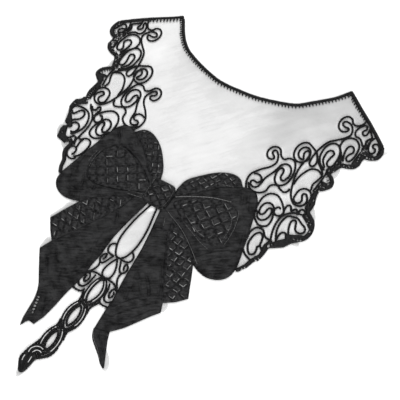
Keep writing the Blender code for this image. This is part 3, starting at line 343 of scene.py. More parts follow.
# What the trimmed scallops lack of the regular ones
RIGHT_TRIMS = [
    [(134.6, 113.4), (131.9, 117.6), (128.6, 119.6), (125.6, 121.2), (125.2, 126), (126.2, 131),
     (127.6, 135), (131, 135), (138, 116)],
]
LEFT_TRIMS = [
    [(-122, 127.6), (-122.7, 132), (-122.9, 138), (-122.2, 144), (-120.4, 148.6), (-118.6, 148.6),
     (-119.4, 140), (-119.4, 131)],
    [(-139.6, 114.6), (-134.4, 119.4), (-131.6, 120.9), (-129.4, 121.6), (-128.6, 124.6), (-134, 128),
     (-142, 120)],
    [(-142, 138), (-129.6, 138), (-129.7, 148.6), (-131.8, 150.9), (-135.6, 153.3), (-138, 158.2),
     (-142, 158.2)],
    [(-142, 160), (-137.6, 159.6), (-134.5, 164.5), (-131.7, 169.6), (-129.8, 175), (-128.4, 180.2),
     (-126.2, 181.8), (-124.6, 181.6), (-124, 183.4), (-126.6, 185.4), (-127, 190), (-125, 198),
     (-121.6, 201.2), (-126, 206), (-142, 190)],
    [(-113, 199.8), (-110.4, 198), (-109.1, 200.2), (-109.8, 206.4), (-110.5, 208.6), (-114, 207)],
]

# Light quilting threads that run alone, real stitching made light as a painted glint: the route and the
# thread's radius
LONE_THREADS = [
    ([(12.5, 197.2), (20, 192.6), (27, 188.4), (36, 183.4), (45, 179.6), (53, 177), (60.5, 175)], 0.42),
    ([(70.4, 179), (73.4, 185.6), (75.8, 193), (77.2, 201), (77.5, 209), (76.6, 218)], 0.3),
    ([(69, 189), (71.8, 195), (73.2, 202), (73.6, 213)], 0.24),
    ([(14.6, 214.2), (20, 216.6), (26, 218.8), (38, 224.8), (52, 234.4), (60, 240.6), (66.4, 245.6)], 0.34),
    ([(45, 216.6), (51, 218.4), (57, 219.6)], 0.34),
    ([(36, 217.4), (46, 221.4), (56, 225.4), (66, 228)], 0.24),
    ([(30, 208.4), (38, 213), (47, 216.8)], 0.22),
    ([(44, 164), (49, 161.8), (54, 160)], 0.26),
    ([(36.4, 160), (37, 165), (40.4, 168.2)], 0.22),
    ([(15.4, 220.6), (17.6, 225.4), (19, 229)], 0.22),
    ([(-77.6, 192), (-78.2, 199), (-78, 206), (-76.6, 213.4)], 0.24),
    ([(-80.2, 193), (-80.9, 200), (-80.6, 208)], 0.18),
    ([(-28.6, 217.2), (-22, 215.8), (-13, 214.2)], 0.28),
    ([(-30, 214), (-22.6, 212.2), (-15, 210.4)], 0.2),
    ([(-19, 176), (-17.4, 182), (-16, 189), (-14.6, 197)], 0.24),
    ([(-15, 187), (-14.6, 195), (-14.4, 205), (-13.6, 214)], 0.22),
    ([(8.4, 189), (9, 197), (9, 206), (8, 214)], 0.22),
    ([(21.4, 345), (26, 350.6), (33, 355.6), (41, 363)], 0.22),
]

# Soft shifts of all that lies near a place: across, down, reach, and the move across and down
# How the cloth has settled unevenly
SETTLED = [
    (-134.5, 36.5, 4.6, 3.6, 0.6), (-149.6, 50, 4, 2.6, 0.4), (-112, 40, 14, 1, 1.4),
    (-155, 54, 9, 1.6, -0.6), (-146, 74, 8, -2.6, 0.2), (-133, 111, 11, -3.4, 1.8),
    (-128, 135, 10, -1.6, 0), (-137, 163, 11, 3.6, -3.6), (-121, 191, 8, -1.5, 9),
    (-100, 200, 14, 2.4, 0.5), (-105, 219, 8, 2, 1), (-134, 172, 7, 1.4, 0), (16, 172, 9, -2, -0.5),
    (-65, 304, 10, -1.8, 1.4), (62, 301, 9, -1.4, -1.2),
]
# How the laid collar is drawn out unevenly as a whole
DRAPED = [
    (-104, 8, 18, 2.4, 1.5), (-140, 34, 14, 1, 0.3), (-60, 45, 18, -0.2, -0.6), (-24, 58, 18, -0.3, -0.75),
    (12, 58, 18, -0.35, -0.75), (46, 50, 18, -0.4, -0.75), (78, 29, 18, -0.3, -0.7),
    (101, 2, 14, 0.2, -1.2), (-52, 318, 34, -0.5, 1.3), (68, 272, 22, -0.7, 1.5), (-92, 232, 16, 0.4, -1.8),
    (-74, 274, 14, 0.3, -1.3), (42, 332, 12, -0.6, -1.9), (58, 312, 12, -0.4, -2.1),
    (-101, 88, 12, -1.1, 1.3), (-63, 104, 13, -1, 0.8), (-142, 112, 12, 1.6, 0.2),
    (-112, 162, 14, 0.9, -0.3), (-76, 172, 13, 1.1, -0.6), (-156, 46, 11, 0.9, -0.6),
    (133, 112, 8, -1.4, -0.5), (136, 16, 12, -0.4, -0.8), (86, 205, 13, -1, 0.1), (14, 181, 10, -1.5, -0.3),
    (38, 157, 15, -0.6, -1), (-34, 151, 15, -1, -0.7), (-15, 283, 9, 1.6, 0.4), (-16.5, 309, 10, 2.3, -0.4),
    (-37, 368, 12, -0.3, 1.1), (-88, 20, 12, -1.3, 0.2), (-74, 35, 10, -0.8, -0.5),
    (-14.5, 311, 9, 0.2, -1.5), (12.5, 309, 8, 1.3, 0.4), (-97.3, 167.5, 9, -0.3, 1.1),
    (-90, 90, 9, -0.5, 0.6),
]

# Inner edge of the right tail, which is satin-stitched, and the lower end of the left one
TAIL_INNER = [
    (6.4, 216.4), (9.2, 229), (12.2, 244), (14.2, 258), (15.4, 272), (16.6, 288), (17.8, 306), (19, 321),
    (20, 333), (20.6, 341),
]
LEFT_TIP_INNER = [(-20.6, 341), (-22.8, 355), (-26.4, 364.8)]
# Puckered hem at the foot of a loop
LOOP_HEM = [(96.8, 233), (95.2, 241.4), (89, 248), (79, 251), (70, 249.8), (62.4, 246.6)]

# Creases of the laid cloths, from one place to another, with width and depth, troughs being negative
CREASES = {
    "ground": [
        (18, 112, 68, 49, 2.4, 0.22), (-44, 120, -8, 84, 4, 0.15), (30, 138, 66, 112, 3, -0.15),
        (2, 128, 30, 150, 3, 0.12),
    ],
    "loop_front_right": [
        (64, 246, 96, 220, 1.3, 0.5), (69, 249, 97, 228, 1.2, -0.55), (58, 241, 92, 213, 1.5, -0.5),
        (75, 250, 97, 235, 1.2, 0.45), (55, 236, 84, 214, 1.3, 0.4), (66, 233, 84, 222, 0.9, -0.3),
        (78, 243, 93, 231, 0.8, -0.3), (82, 158, 92, 196, 2.2, -0.35), (63, 160, 70, 176, 1.6, -0.4),
        (70, 157, 80, 178, 1.8, 0.35), (50, 165, 60, 174, 1.4, -0.3), (30, 183, 56, 171, 1.8, 0.3),
        (84, 190, 92, 222, 1.5, 0.35), (25, 218, 48, 227, 1, 0.35), (17, 214, 40, 221, 0.9, -0.35),
        (36, 223, 57, 236, 0.9, -0.3),
    ],
    "loop_front_left": [
        (-80, 160, -68, 176, 1.5, -0.55), (-76, 157, -66, 171, 1.3, 0.4), (-72, 176, -56, 179, 1.6, -0.45),
        (-57, 160, -46, 171, 1.8, -0.4), (-48, 176, -30, 182, 1.6, -0.4), (-60, 168, -44, 176, 2.2, 0.35),
        (-77, 222, -71, 234, 1.4, -0.6), (-71, 225, -52, 236, 2, 0.35), (-62, 222, -58, 234, 1.4, -0.4),
        (-90, 236, -70, 240, 1.6, -0.35), (-94, 218, -84, 232, 1.6, 0.35), (-88, 200, -86, 222, 1.6, -0.3),
        (-55, 227, -30, 219, 1.2, 0.35), (-46, 233, -22, 219, 1.2, -0.35), (-91, 226, -98, 212, 1, -0.3),
        (-80, 243, -66, 238, 1.2, 0.35),
    ],
    "tail_plain_right": [
        (16, 273, 36, 259, 1.6, -0.75), (17, 268, 33, 256, 1.3, 0.4), (31, 277, 46, 295, 1.5, -0.6),
        (28, 281, 42, 298, 1.6, 0.35), (23, 331, 52, 297, 2, -0.75), (28, 335, 58, 301, 2.2, 0.5),
        (22, 322, 47, 293, 1.8, 0.45), (24, 312, 38, 296, 1.2, -0.35), (12, 236, 24, 232, 1.3, -0.55),
        (15, 225, 22, 234, 1, 0.35), (17, 250, 28, 244, 1.4, -0.45), (22, 258, 34, 250, 1.6, 0.4),
        (37, 262, 52, 290, 1.2, -0.3), (26, 290, 30, 312, 1.8, -0.3), (45, 316, 60, 299, 1.5, -0.3),
    ],
    "tail_plain_left": [
        (-46, 291, -36, 286, 1.6, -0.55), (-34, 313, -24, 302, 1.4, -0.6), (-30, 318, -20, 309, 1.4, 0.4),
        (-35, 336, -26, 354, 2.2, -0.8), (-45, 270, -38, 266, 1.6, -0.45), (-50, 280, -41, 276, 1.4, 0.35),
        (-30, 232, -20, 250, 1.6, 0.35), (-26, 262, -22, 288, 1.6, -0.35), (-58, 306, -44, 322, 1.4, -0.35),
        (-52, 296, -42, 306, 1.6, 0.35), (-40, 322, -28, 330, 1.4, 0.4), (-38, 308, -30, 324, 1.2, -0.3),
        (-44, 336, -34, 328, 1.3, -0.4), (-25, 336, -24, 358, 1.2, 0.4),
    ],
    "tail_tip_right": [
        (24, 345, 44, 362, 0.9, -0.45), (27, 343, 45, 362, 0.8, 0.35), (31, 342, 44, 359, 0.8, -0.45),
        (33, 343, 43, 357, 0.6, 0.3), (23, 349, 40, 361, 0.8, 0.3),
    ],
}

# Diagonal quilting: the turn, spacing and start of both rows, the puff, and the share of light threads,
# which are painted glints on the puffs' lower edges
QUILTS = {
    "loop_inset_right": ([(36, 9.4, 1), (-54, 9.8, 2)], 1.15, 0.7),
    "loop_inset_left": ([(-36, 9.6, 3), (54, 9.8, 4)], 0.95, 0.3),
    "loop_back_right": ([(20, 6.2, 0), (-62, 5.8, 1)], 0.85, 0.5),
    "loop_back_left": ([(-24, 6.4, 2), (60, 5.6, 0)], 0.85, 0.35),
    "tail_quilt_right": ([(4, 7.4, 5.6), (98, 7.6, 2)], 0.95, 0.95),
    "tail_quilt_left": ([(3, 8.4, 7), (64, 6.2, 1)], 0.95, 0.55),
    "bow_knot": ([(38, 6.8, 1), (-46, 7.2, 2)], 1, 0.35),
}

# Small gaps in the satin stitch where the mesh shows: across, down, half across, half down
HOLES = [
    (-140, 52.6, 0.8, 1), (-137.2, 55, 0.6, 1), (-143, 58, 0.7, 0.8), (-149.8, 47.4, 0.6, 1),
    (-150.2, 52, 0.6, 1.1), (-137, 59.4, 0.5, 1), (-148, 56.2, 0.9, 0.6), (-139.4, 45.6, 0.5, 1.2),
    (-129, 69.4, 0.5, 0.9), (-128.4, 73.5, 0.5, 1.1), (-127.8, 78, 0.5, 1.1), (-127.2, 82.4, 0.5, 1),
    (-126.6, 86.4, 0.5, 1), (-151, 44, 0.7, 0.7), (-152.2, 49, 0.6, 0.9), (-151.6, 54.4, 0.6, 0.8),
    (-149.6, 58.6, 0.8, 0.6), (-146, 62, 0.9, 0.6), (-142.4, 75.6, 0.8, 0.8), (-139, 78.6, 0.9, 0.6),
    (-134.6, 81.4, 1, 0.5), (-143.4, 64.4, 0.6, 0.8), (-138.4, 62, 0.5, 1), (-130.6, 84.6, 0.7, 0.5),
    (-141.2, 43.5, 0.6, 1.9), (-141.6, 50, 0.5, 1.6), (-145.4, 57.4, 1.3, 0.6), (-148.4, 60.4, 1.1, 0.7),
    (-141.6, 61, 0.6, 1.1), (-144.6, 67, 0.6, 1.1), (-144.4, 72.2, 1, 1), (-139.8, 67, 0.5, 1.4),
    (-153.6, 46.4, 0.7, 0.9), (-154, 51.6, 0.6, 1), (-152.8, 57, 0.6, 0.8), (-128.2, 90, 0.4, 1.2),
    (141.3, 46, 0.4, 1.2), (142.4, 57.2, 1, 0.5), (155.2, 54.6, 0.5, 0.9), (144.6, 62.6, 0.7, 0.5),
    (136.8, 82, 0.6, 0.5), (127, 95, 0.4, 0.7), (125, 151, 1, 0.6), (130.6, 157.6, 0.5, 0.7),
    (136.6, 164, 0.4, 0.9), (124.8, 133, 0.35, 0.9), (125, 121.6, 0.4, 0.8), (107.6, 218.6, 0.4, 0.6),
    (140.9, 49.2, 0.5, 0.9), (152.9, 47.2, 0.6, 1), (154.6, 50.2, 0.4, 0.7), (141.6, 59.2, 0.8, 0.7),
    (140.6, 61.6, 0.5, 0.7), (140.8, 66.4, 0.4, 0.8), (141.2, 69.8, 0.4, 0.7), (141.5, 72.8, 0.4, 0.6),
    (147.6, 64.4, 0.7, 0.8), (150.2, 64, 0.4, 0.6), (152.8, 62.6, 0.7, 0.6), (138.2, 82.9, 0.5, 0.4),
    (135.6, 84.4, 0.5, 0.4), (132.4, 84, 0.4, 0.6), (140.2, 81.4, 0.5, 0.4), (128.4, 86, 0.4, 0.6),
    (133.8, 156.8, 0.5, 0.6), (131, 154.8, 0.4, 0.5), (127.8, 152.2, 0.9, 0.4), (128, 178.4, 0.9, 0.4),
    (131.2, 177.6, 0.6, 0.5), (133.6, 176.2, 0.5, 0.6), (111.3, 196.2, 0.7, 1.1), (108.2, 214.6, 0.7, 0.5),
    (109.5, 212.4, 0.4, 0.6), (101.8, 228.6, 0.5, 0.5), (103.3, 226, 0.4, 0.6), (-151.2, 46, 0.7, 0.8),
    (-153.2, 48.4, 0.9, 0.5), (-153.2, 51, 0.5, 0.6), (-153.8, 54.4, 0.4, 0.7), (-151, 58.8, 0.6, 0.6),
    (-146.6, 61.2, 0.8, 0.9), (-141.4, 63, 0.5, 0.9), (-142.6, 66.6, 0.5, 0.7), (-142.4, 70.6, 0.5, 0.8),
    (-143, 73.6, 0.9, 0.7), (-139.8, 79.2, 0.6, 0.7), (-136.8, 82.4, 0.5, 0.4), (-128.4, 84.2, 0.5, 0.7),
    (-129, 81, 0.4, 0.6), (-132.4, 157.4, 0.8, 0.4), (-129.4, 159, 0.8, 0.4), (-122.6, 192.6, 0.5, 0.6),
    (-125.6, 132.6, 0.4, 0.5), (-125.7, 135.4, 0.5, 0.5), (-125.8, 138, 0.6, 0.5),
    (-125.7, 140.8, 0.5, 0.5), (-125.6, 143.4, 0.7, 0.5), (-124.8, 146.2, 0.7, 0.5), (-124, 149, 0.7, 0.5),
    (-122.6, 124.6, 0.7, 0.6), (-124.6, 103.2, 0.4, 0.7), (-123.4, 98.4, 0.9, 0.4), (127.6, 115.9, 1, 0.45),
    (124.4, 116.4, 0.4, 0.6), (122.8, 96.4, 0.4, 0.9), (121.6, 100.6, 0.5, 0.8), (124.6, 78, 0.35, 0.8),
    (125.4, 84.6, 0.35, 0.9), (124.2, 90.6, 0.35, 0.8), (-126.4, 76.4, 0.35, 0.9), (-126, 86, 0.35, 0.9),
    (-125.6, 93.6, 0.5, 0.7), (113, 193.4, 0.5, 0.4), (123, 140, 0.3, 0.8),
]
# Gaps between the stitches at the edge of the left tail
TAIL_GAPS = [
    (-37.6, 342.6, 0.7, 0.5), (-36.9, 345.2, 0.75, 0.55), (-36.1, 348, 0.8, 0.6), (-35.3, 350.9, 0.8, 0.6),
    (-34.4, 353.8, 0.75, 0.6), (-33.5, 356.5, 0.6, 0.5),
]
# Threads from the edge into the small scallops: where each begins and ends
LOBE_THREADS = [
    ((124.6, 100.4), (122, 102.6)), ((126.8, 102.2), (123.6, 105)), ((129.6, 104.4), (126.6, 108.4)),
    ((131.2, 107.2), (128.2, 111.4)), ((-127.6, 101.8), (-125.8, 105.6)), ((-131, 103.6), (-127.4, 106.8)),
    ((-133.8, 105.6), (-129.4, 108.8)), ((-135.6, 108.4), (-130.8, 111.2)),
    ((-136, 111.6), (-131.4, 113.8)),
]
# Loose slips of mesh left outside the stitching where it was trimmed
SLIPS = [
    [(129.6, 86.5), (132.2, 92), (132, 99), (130.6, 104), (126.8, 101.5), (124.6, 97), (126.5, 91)],
    [(126.8, 138.5), (131, 142), (134.6, 147.5), (136.6, 154.5), (132, 151.5), (127.5, 148), (126.6, 143)],
    [(127.4, 180), (132.6, 179.4), (135, 181.8), (131, 184), (126.8, 184)],
    [(158.4, 50.8), (163.2, 47.2), (161.6, 50.6), (159.2, 53.6)],
    [(-128.6, 87), (-131.6, 93), (-131.8, 99), (-129.8, 104), (-126.4, 101), (-125.4, 94)],
    [(-126.2, 183.2), (-129.6, 184.8), (-130.4, 189), (-128, 194), (-125.8, 197.2), (-124, 190)],
    [(-117, 199), (-115.4, 204.4), (-112.2, 206.4), (-109.4, 208.2), (-107.8, 203.6), (-107.6, 198.2),
     (-112, 196.8)],
    [(-62.2, 248.4), (-70.8, 252.4), (-73.4, 262), (-77.8, 274.6), (-74.4, 274.4), (-66, 256)],
    [(-60, 291.6), (-65.4, 291.2), (-66.8, 298), (-65.2, 303.6), (-61, 300)],
    [(60, 288), (64, 290.6), (64.6, 297), (61.8, 300.4), (57.8, 294)],
    [(38.6, 352.6), (43.4, 354.6), (48.6, 360.4), (50.2, 368.4), (45.6, 367.4), (42.4, 359.6)],
    [(-7.4, 391), (-6, 397), (-8, 404), (-10.6, 410.4), (-14.8, 404.6), (-12, 399)],
]

# How the mesh gets denser or thinner, painting the shade and light over the collar: the axis, two places on
# it in metres and the factor at each
MESH_SHADES = [
    ("X", 0.03, 0.13, 1.0, 2.5), ("Y", -0.01, 0.03, 1.3, 1.0), ("Y", 0.10, 0.16, 1.0, 1.4),
    ("Y", -0.09, -0.05, 0.65, 1.0),
]

# The camera stands where the photograph was taken from
TARGET = np.array([0.03222, 0.01767, 0.00045])
OFFSET = np.array([0.1777, -0.2945, 0.6283])
RIGHT = (0.8563, 0.5165, 0.0)
UP = (-0.4530, 0.7511, 0.4802)
BACK = (0.2480, -0.4112, 0.8771)
LENS = 68.6
SENSOR_WIDTH = 36.0

# Lights: azimuth and elevation in degrees, distance and size in metres, power in watts
LIGHTS = [("overhead", 208, 63, 1.6, 1.0, 15.0), ("front", 40, 34, 1.3, 0.45, 13.0)]
WORLD_LIGHT = 0.60
FLOOR_HALF = 3.0
FLOOR_LEVEL = -0.0003


# Plan geometry

def shifted(places, shifts):
    """Where places of the plan lie after soft shifts."""
    moved = places.copy()
    for across, down, reach, move_across, move_down in shifts:
        away = (places[:, 0] - across) ** 2 + (places[:, 1] - down) ** 2
        share = np.exp(-away / (2 * reach ** 2))
        moved[:, 0] += move_across * share
        moved[:, 1] += move_down * share
    return moved


def mirrored(route):
    """The same route on the other side of the centre line."""
    return [step._replace(across=-step.across, start=180 - step.start, turn=-step.turn)
            if isinstance(step, Curl) else (-step[0], step[1]) for step in route]


SIDES = {"left": mirrored, "right": list}


def between(first, second, start, end, time):
    """The value on the way from first, at the start time, to second, at the end time."""
    return (first * (end - time) + second * (time - start)) / (end - start)


def smooth(knots, pieces=8):
    """A centripetal curve through the knots."""
    knots = [np.array(knot, float) for knot in knots]
    ring = [2 * knots[0] - knots[1]] + knots + [2 * knots[-1] - knots[-2]]
    points = []
    for p0, p1, p2, p3 in zip(ring, ring[1:], ring[2:], ring[3:]):
        t0 = 0.0
        t1 = t0 + np.linalg.norm(p1 - p0) ** 0.5
        t2 = t1 + np.linalg.norm(p2 - p1) ** 0.5
        t3 = t2 + np.linalg.norm(p3 - p2) ** 0.5
        for time in np.linspace(t1, t2, pieces, endpoint=False):
            a1 = between(p0, p1, t0, t1, time)
            a2 = between(p1, p2, t1, t2, time)
            a3 = between(p2, p3, t2, t3, time)
            b1 = between(a1, a2, t0, t2, time)
            b2 = between(a2, a3, t1, t3, time)
            points.append(between(b1, b2, t1, t2, time))
    points.append(knots[-1])
    return np.array(points)


def line_of(route):
    """The drawn line of a route of spots and curls, as it has settled."""
    knots = []
    for step in route:
        if not isinstance(step, Curl):
            knots.append(step)
            continue
        count = max(2, round(abs(step.turn) / CURL_STEP_DEGREES))
        for angle in np.radians(np.linspace(step.start, step.start + step.turn, count + 1)):
            knots.append((step.across + step.half_across * math.cos(angle),
                          step.down + step.half_down * math.sin(angle)))
    return shifted(smooth(knots), SETTLED)


def lens_line(lens, first=0, last=360, step=6):
    """A pointed oval, round at the sides and narrow at the two ends, or a part of it."""
    across, down, half_across, half_down = lens
    angles = np.radians(np.arange(first, last + 1, step))
    reach = np.abs(np.cos(angles)) ** LENS_POINTEDNESS * np.sign(np.cos(angles))
    return np.stack([across + half_across * reach, down + half_down * np.sin(angles)], axis=1)


def hole_loop(hole):
    """The outline of a small gap in the stitching."""
    across, down, half_across, half_down = hole
    angles = np.radians(np.arange(0, 360, 45))
    return np.stack([across + HOLE_SIZE * half_across * np.cos(angles),
                     down + HOLE_SIZE * half_down * np.sin(angles)], axis=1)


def distances(line):
    """How far along the line each of its points is."""
    runs = np.linalg.norm(np.diff(line, axis=0), axis=1)
    return np.concatenate([[0.0], np.cumsum(runs)])


def paced(line, step):
    """The line in even steps, and how far along it each point is."""
    along = distances(line)
    count = max(3, int(round(along[-1] / step)) + 1)
    places = np.linspace(0, along[-1], count)
    return np.stack([np.interp(places, along, column) for column in line.T], axis=1), places


def unit(vectors):
    """The vectors brought to length one."""
    return vectors / np.maximum(np.linalg.norm(vectors, axis=1), TINY)[:, None]


def directions(line):
    """Which way the line runs at each point, and the way across it in the plan."""
    ahead = unit(np.gradient(line, axis=0))
    return ahead, np.stack([-ahead[:, 1], ahead[:, 0]], axis=1)


def nearest(points, samples):
    """For each point, the distance to the nearest sample and that sample's number."""
    tree = KDTree(len(samples))
    for number, sample in enumerate(samples):
        tree.insert((sample[0], sample[1], 0.0), number)
    tree.balance()
    found = [tree.find((point[0], point[1], 0.0)) for point in points]
    return np.array([row[2] for row in found]), np.array([row[1] for row in found])


def within(points, loop):
    """Which points lie inside a loop."""
    count = np.zeros(len(points), int)
    for a, b in zip(loop, np.roll(loop, -1, axis=0)):
        if a[1] == b[1]:
            continue
        spans = (a[1] > points[:, 1]) != (b[1] > points[:, 1])
        cut = a[0] + (points[:, 1] - a[1]) * (b[0] - a[0]) / (b[1] - a[1])
        count += spans & (cut > points[:, 0])
    return count % 2 == 1


def border_loops(faces):
    """The closed borders round a set of faces, as lists of point numbers."""
    edges = {(face[i], face[(i + 1) % len(face)]) for face in faces for i in range(len(face))}
    following = {}
    for start, end in sorted(edges):
        if (end, start) not in edges:
            following.setdefault(start, []).append(end)
    loops = []
    while following:
        start = next(iter(following))
        loop = [start]
        while True:
            ends = following[loop[-1]]
            end = ends.pop()
            if not ends:
                del following[loop[-1]]
            if end == start:
                break
            loop.append(end)
        loops.append(loop)
    return loops


def area_of(loop):
    """The area inside a loop, positive where it runs counter-clockwise."""
    ahead = np.roll(loop, -1, axis=0)
    return float(np.sum(loop[:, 0] * ahead[:, 1] - ahead[:, 0] * loop[:, 1])) / 2


def node_loops(name):
    """The borders of a CAD node's upper side in the plan, the outer one first."""
    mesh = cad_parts[name].data
    numbers, points, faces = {}, [], []
    for polygon in mesh.polygons:
        if polygon.normal.z < 0.3:
            continue
        face = []
        for corner in polygon.vertices:
            place = mesh.vertices[corner].co
            key = (round(place.x * 1e5), round(place.y * 1e5))
            if key not in numbers:
                numbers[key] = len(points)
                points.append((place.x / MM + MID_ACROSS, MID_DOWN - place.y / MM))
            if not face or face[-1] != numbers[key]:
                face.append(numbers[key])
        if len(set(face)) > 2:
            faces.append(face)
    loops = [np.array([points[i] for i in loop]) for loop in border_loops(faces)]
    return sorted(loops, key=lambda loop: -abs(area_of(loop)))


def refined(loop, step):
    """The loop with no side longer than the step."""
    result = []
    for a, b in zip(loop, np.roll(loop, -1, axis=0)):
        count = max(1, int(math.ceil(np.linalg.norm(b - a) / step)))
        result += [a + (b - a) * i / count for i in range(count)]
    return np.array(result)


def borders_of(loops):
    """Close points all along the loops."""
    return np.concatenate([refined(loop, BORDER_STEP) for loop in loops])


def grown(loop, distance):
    """The loop moved outwards."""
    run = unit(np.roll(loop, -1, axis=0) - np.roll(loop, 1, axis=0))
    side = 1 if area_of(loop) > 0 else -1
    return loop + side * distance * np.stack([run[:, 1], -run[:, 0]], axis=1)


def ripple(points, scale, seed):
    """A soft uneven wave over the plan, about from -1 to 1."""
    draw = np.random.default_rng(seed)
    total = np.zeros(len(points))
    for _ in range(7):
        turn, phase = draw.uniform(0, math.tau, 2)
        length = scale * draw.uniform(0.7, 1.6)
        total += np.sin(math.tau * (points[:, 0] * math.cos(turn) + points[:, 1] * math.sin(turn))
                        / length + phase)
    return total / 4


def rippled(points, scale, seed, other_seed):
    """Two such waves, one for each way of the plan."""
    return np.stack([ripple(points, scale, seed), ripple(points, scale, other_seed)], axis=1)


# Meshes

def add_mesh(name, places, faces, material, crease_angle=50):
    """A piece from plan places (across, down, height) and its faces, on the collar's body."""
    places = shifted(np.asarray(places, float), DRAPED)
    world = np.stack([(places[:, 0] - MID_ACROSS) * MM, (MID_DOWN - places[:, 1]) * MM,
                      places[:, 2] * MM], axis=1)
    data = bpy.data.meshes.new(name)
    data.from_pydata(world.tolist(), [], [tuple(int(i) for i in face) for face in faces])
    data.polygons.foreach_set("use_smooth", [True] * len(data.polygons))
    data.set_sharp_from_angle(angle=math.radians(crease_angle))
    data.materials.append(material)
    data.update()
    piece = bpy.data.objects.new(name, data)
    bpy.context.scene.collection.objects.link(piece)
    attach(piece, "root")
    return piece


def filled(loops, step, seed, cuts=()):
    """Points and triangles over the inside of the loops, in a fine even net, without the cuts."""
    draw = np.random.default_rng(seed)
    borders = [refined(loop, step) for loop in loops]
    low, high = np.concatenate(borders).min(axis=0), np.concatenate(borders).max(axis=0)
    net = []
    for number, down in enumerate(np.arange(low[1], high[1], step * 0.87)):
        across = np.arange(low[0] + (number % 2) * step / 2, high[0], step)
        net.append(np.stack([across, np.full(len(across), down)], axis=1))
    net = np.concatenate(net)
    net += draw.uniform(-0.12, 0.12, net.shape) * step
    keep = within(net, borders[0])
    for border in borders[1:]:
        keep ^= within(net, border)
    for cut in cuts:
        keep &= ~within(net, cut)
        borders.append(refined(cut, step))
    net = net[keep]
    edge, _ = nearest(net, np.concatenate(borders))
    net = net[edge > step * 0.55]
    points, rings = [], []
    for border in borders:
        border = border if area_of(border) > 0 else border[::-1]
        rings.append(list(range(len(points), len(points) + len(border))))
        points += [tuple(map(float, point)) for point in border]
    points += [tuple(map(float, point)) for point in net]
    result = delaunay_2d_cdt(points, [], rings, 0, 1e-6, True)
    flat = np.array([tuple(point) for point in result[0]])
    triangles = [face for face, held in zip(result[2], result[5])
                 if len(held) % 2 and max(held) < len(loops)]
    return flat, triangles


def patch(name, loops, height, step, material, skirt=None, seed=1, cuts=()):
    """A cloth over the loops, with its height from a function, and a skirt down to a height."""
    flat, triangles = filled(loops, step, seed, cuts)
    places = np.column_stack([flat, height(flat)])
    faces = [(a, c, b) for a, b, c in triangles]
    if skirt is not None:
        lower = []
        for loop in border_loops(faces):
            first = len(places) + len(lower)
            lower += [(flat[i][0], flat[i][1], skirt) for i in loop]
            for i, start in enumerate(loop):
                j = (i + 1) % len(loop)
                faces.append((loop[j], start, first + i, first + j))
        places = np.concatenate([places, np.array(lower)])
    return add_mesh(name, places, faces, material)


class Tubes:
    """Many round threads gathered into one mesh."""

    def __init__(self):
        self.places, self.faces, self.count = [], [], 0

    def add(self, line, radii, sides=6, twist=0.0, lobe=0.0):
        """A tube along a line of places, with a radius for each and a twist in lobes per millimetre."""
        line = np.asarray(line, float)
        radii = np.broadcast_to(np.asarray(radii, float), len(line))
        ahead, across = directions(line)
        side = unit(np.column_stack([across, np.zeros(len(line))]))
        up = np.cross(side, ahead)
        up *= np.where(up[:, 2:3] < 0, -1.0, 1.0)
        angles = np.arange(sides) * math.tau / sides
        turns = angles[None, :] - math.pi * twist * distances(line)[:, None]
        reach = radii[:, None] * (1 + lobe * np.cos(2 * turns))
        rings = (line[:, None, :] + (reach * np.cos(angles))[:, :, None] * side[:, None, :]
                 + (reach * np.sin(angles))[:, :, None] * up[:, None, :])
        self.places.append(rings.reshape(-1, 3))
        base = self.count
        for i in range(len(line) - 1):
            a, b = base + i * sides, base + (i + 1) * sides
            for j in range(sides):
                k = (j + 1) % sides
                self.faces.append((a + j, b + j, b + k, a + k))
        last = base + (len(line) - 1) * sides
        self.faces.append(tuple(base + j for j in range(sides)))
        self.faces.append(tuple(last + j for j in reversed(range(sides))))
        self.count += len(line) * sides

    def stitch(self, start, end, radius, rise=0.0, rings=5, sides=5):
        """A short thread from one place to another that bows up in its middle."""
        share = np.linspace(0, 1, rings)[:, None]
        line = np.asarray(start) * (1 - share) + np.asarray(end) * share
        line[:, 2] += rise * np.sin(math.pi * share[:, 0])
        radii = radius * (0.45 + 0.55 * np.sin(math.pi * (0.12 + 0.76 * share[:, 0])))
        self.add(line, radii, sides)

    def piece(self, name, material, slot):
        """The gathered mesh as one piece. The slot is not used."""
        piece = add_mesh(name, np.concatenate(self.places), self.faces, material, crease_angle=70)
        return piece


# Materials

def principled(name, colour, roughness, specular):
    """A material, its shader and the place in the object in metres, with constants on the shader."""
    material = bpy.data.materials.new(name)
    material.use_nodes = True
    shader = material.node_tree.nodes["Principled BSDF"]
    shader.inputs["Base Color"].default_value = (*colour, 1.0)
    shader.inputs["Roughness"].default_value = roughness
    shader.inputs["Specular IOR Level"].default_value = specular
    return material, shader, add_node(material, "ShaderNodeTexCoord").outputs["Object"]


def add_node(material, kind, inputs=(), **values):
    """A node in the material, with its inputs set or linked."""
    node = material.node_tree.nodes.new(kind)
    for key, value in values.items():
        setattr(node, key, value)
    for key, value in dict(inputs).items():
        if isinstance(value, bpy.types.NodeSocket):
            material.node_tree.links.new(value, node.inputs[key])
        else:
            node.inputs[key].default_value = value
    return node


def math_node(material, operation, first, second=0.0):
    """The result of a sum on two values."""
    return add_node(material, "ShaderNodeMath", {0: first, 1: second}, operation=operation).outputs[0]


def noise(material, place, size, detail=3.0):
    """Soft noise with spots of about the given size in millimetres."""
    return add_node(material, "ShaderNodeTexNoise",
                    {"Vector": place, "Scale": 1 / (size * MM), "Detail": detail}).outputs["Fac"]


def turned(material, place, turn):
    """The place turned by some degrees."""
    return add_node(material, "ShaderNodeMapping",
                    {"Vector": place, "Rotation": (0, 0, math.radians(turn))}).outputs["Vector"]


def stretched(material, place, turn, long):
    """The place turned and squeezed, so that spots on it become streaks that run along."""
    return add_node(material, "ShaderNodeMapping",
                    {"Vector": turned(material, place, turn),
                     "Scale": (1 / long, 1.0, 1.0)}).outputs["Vector"]


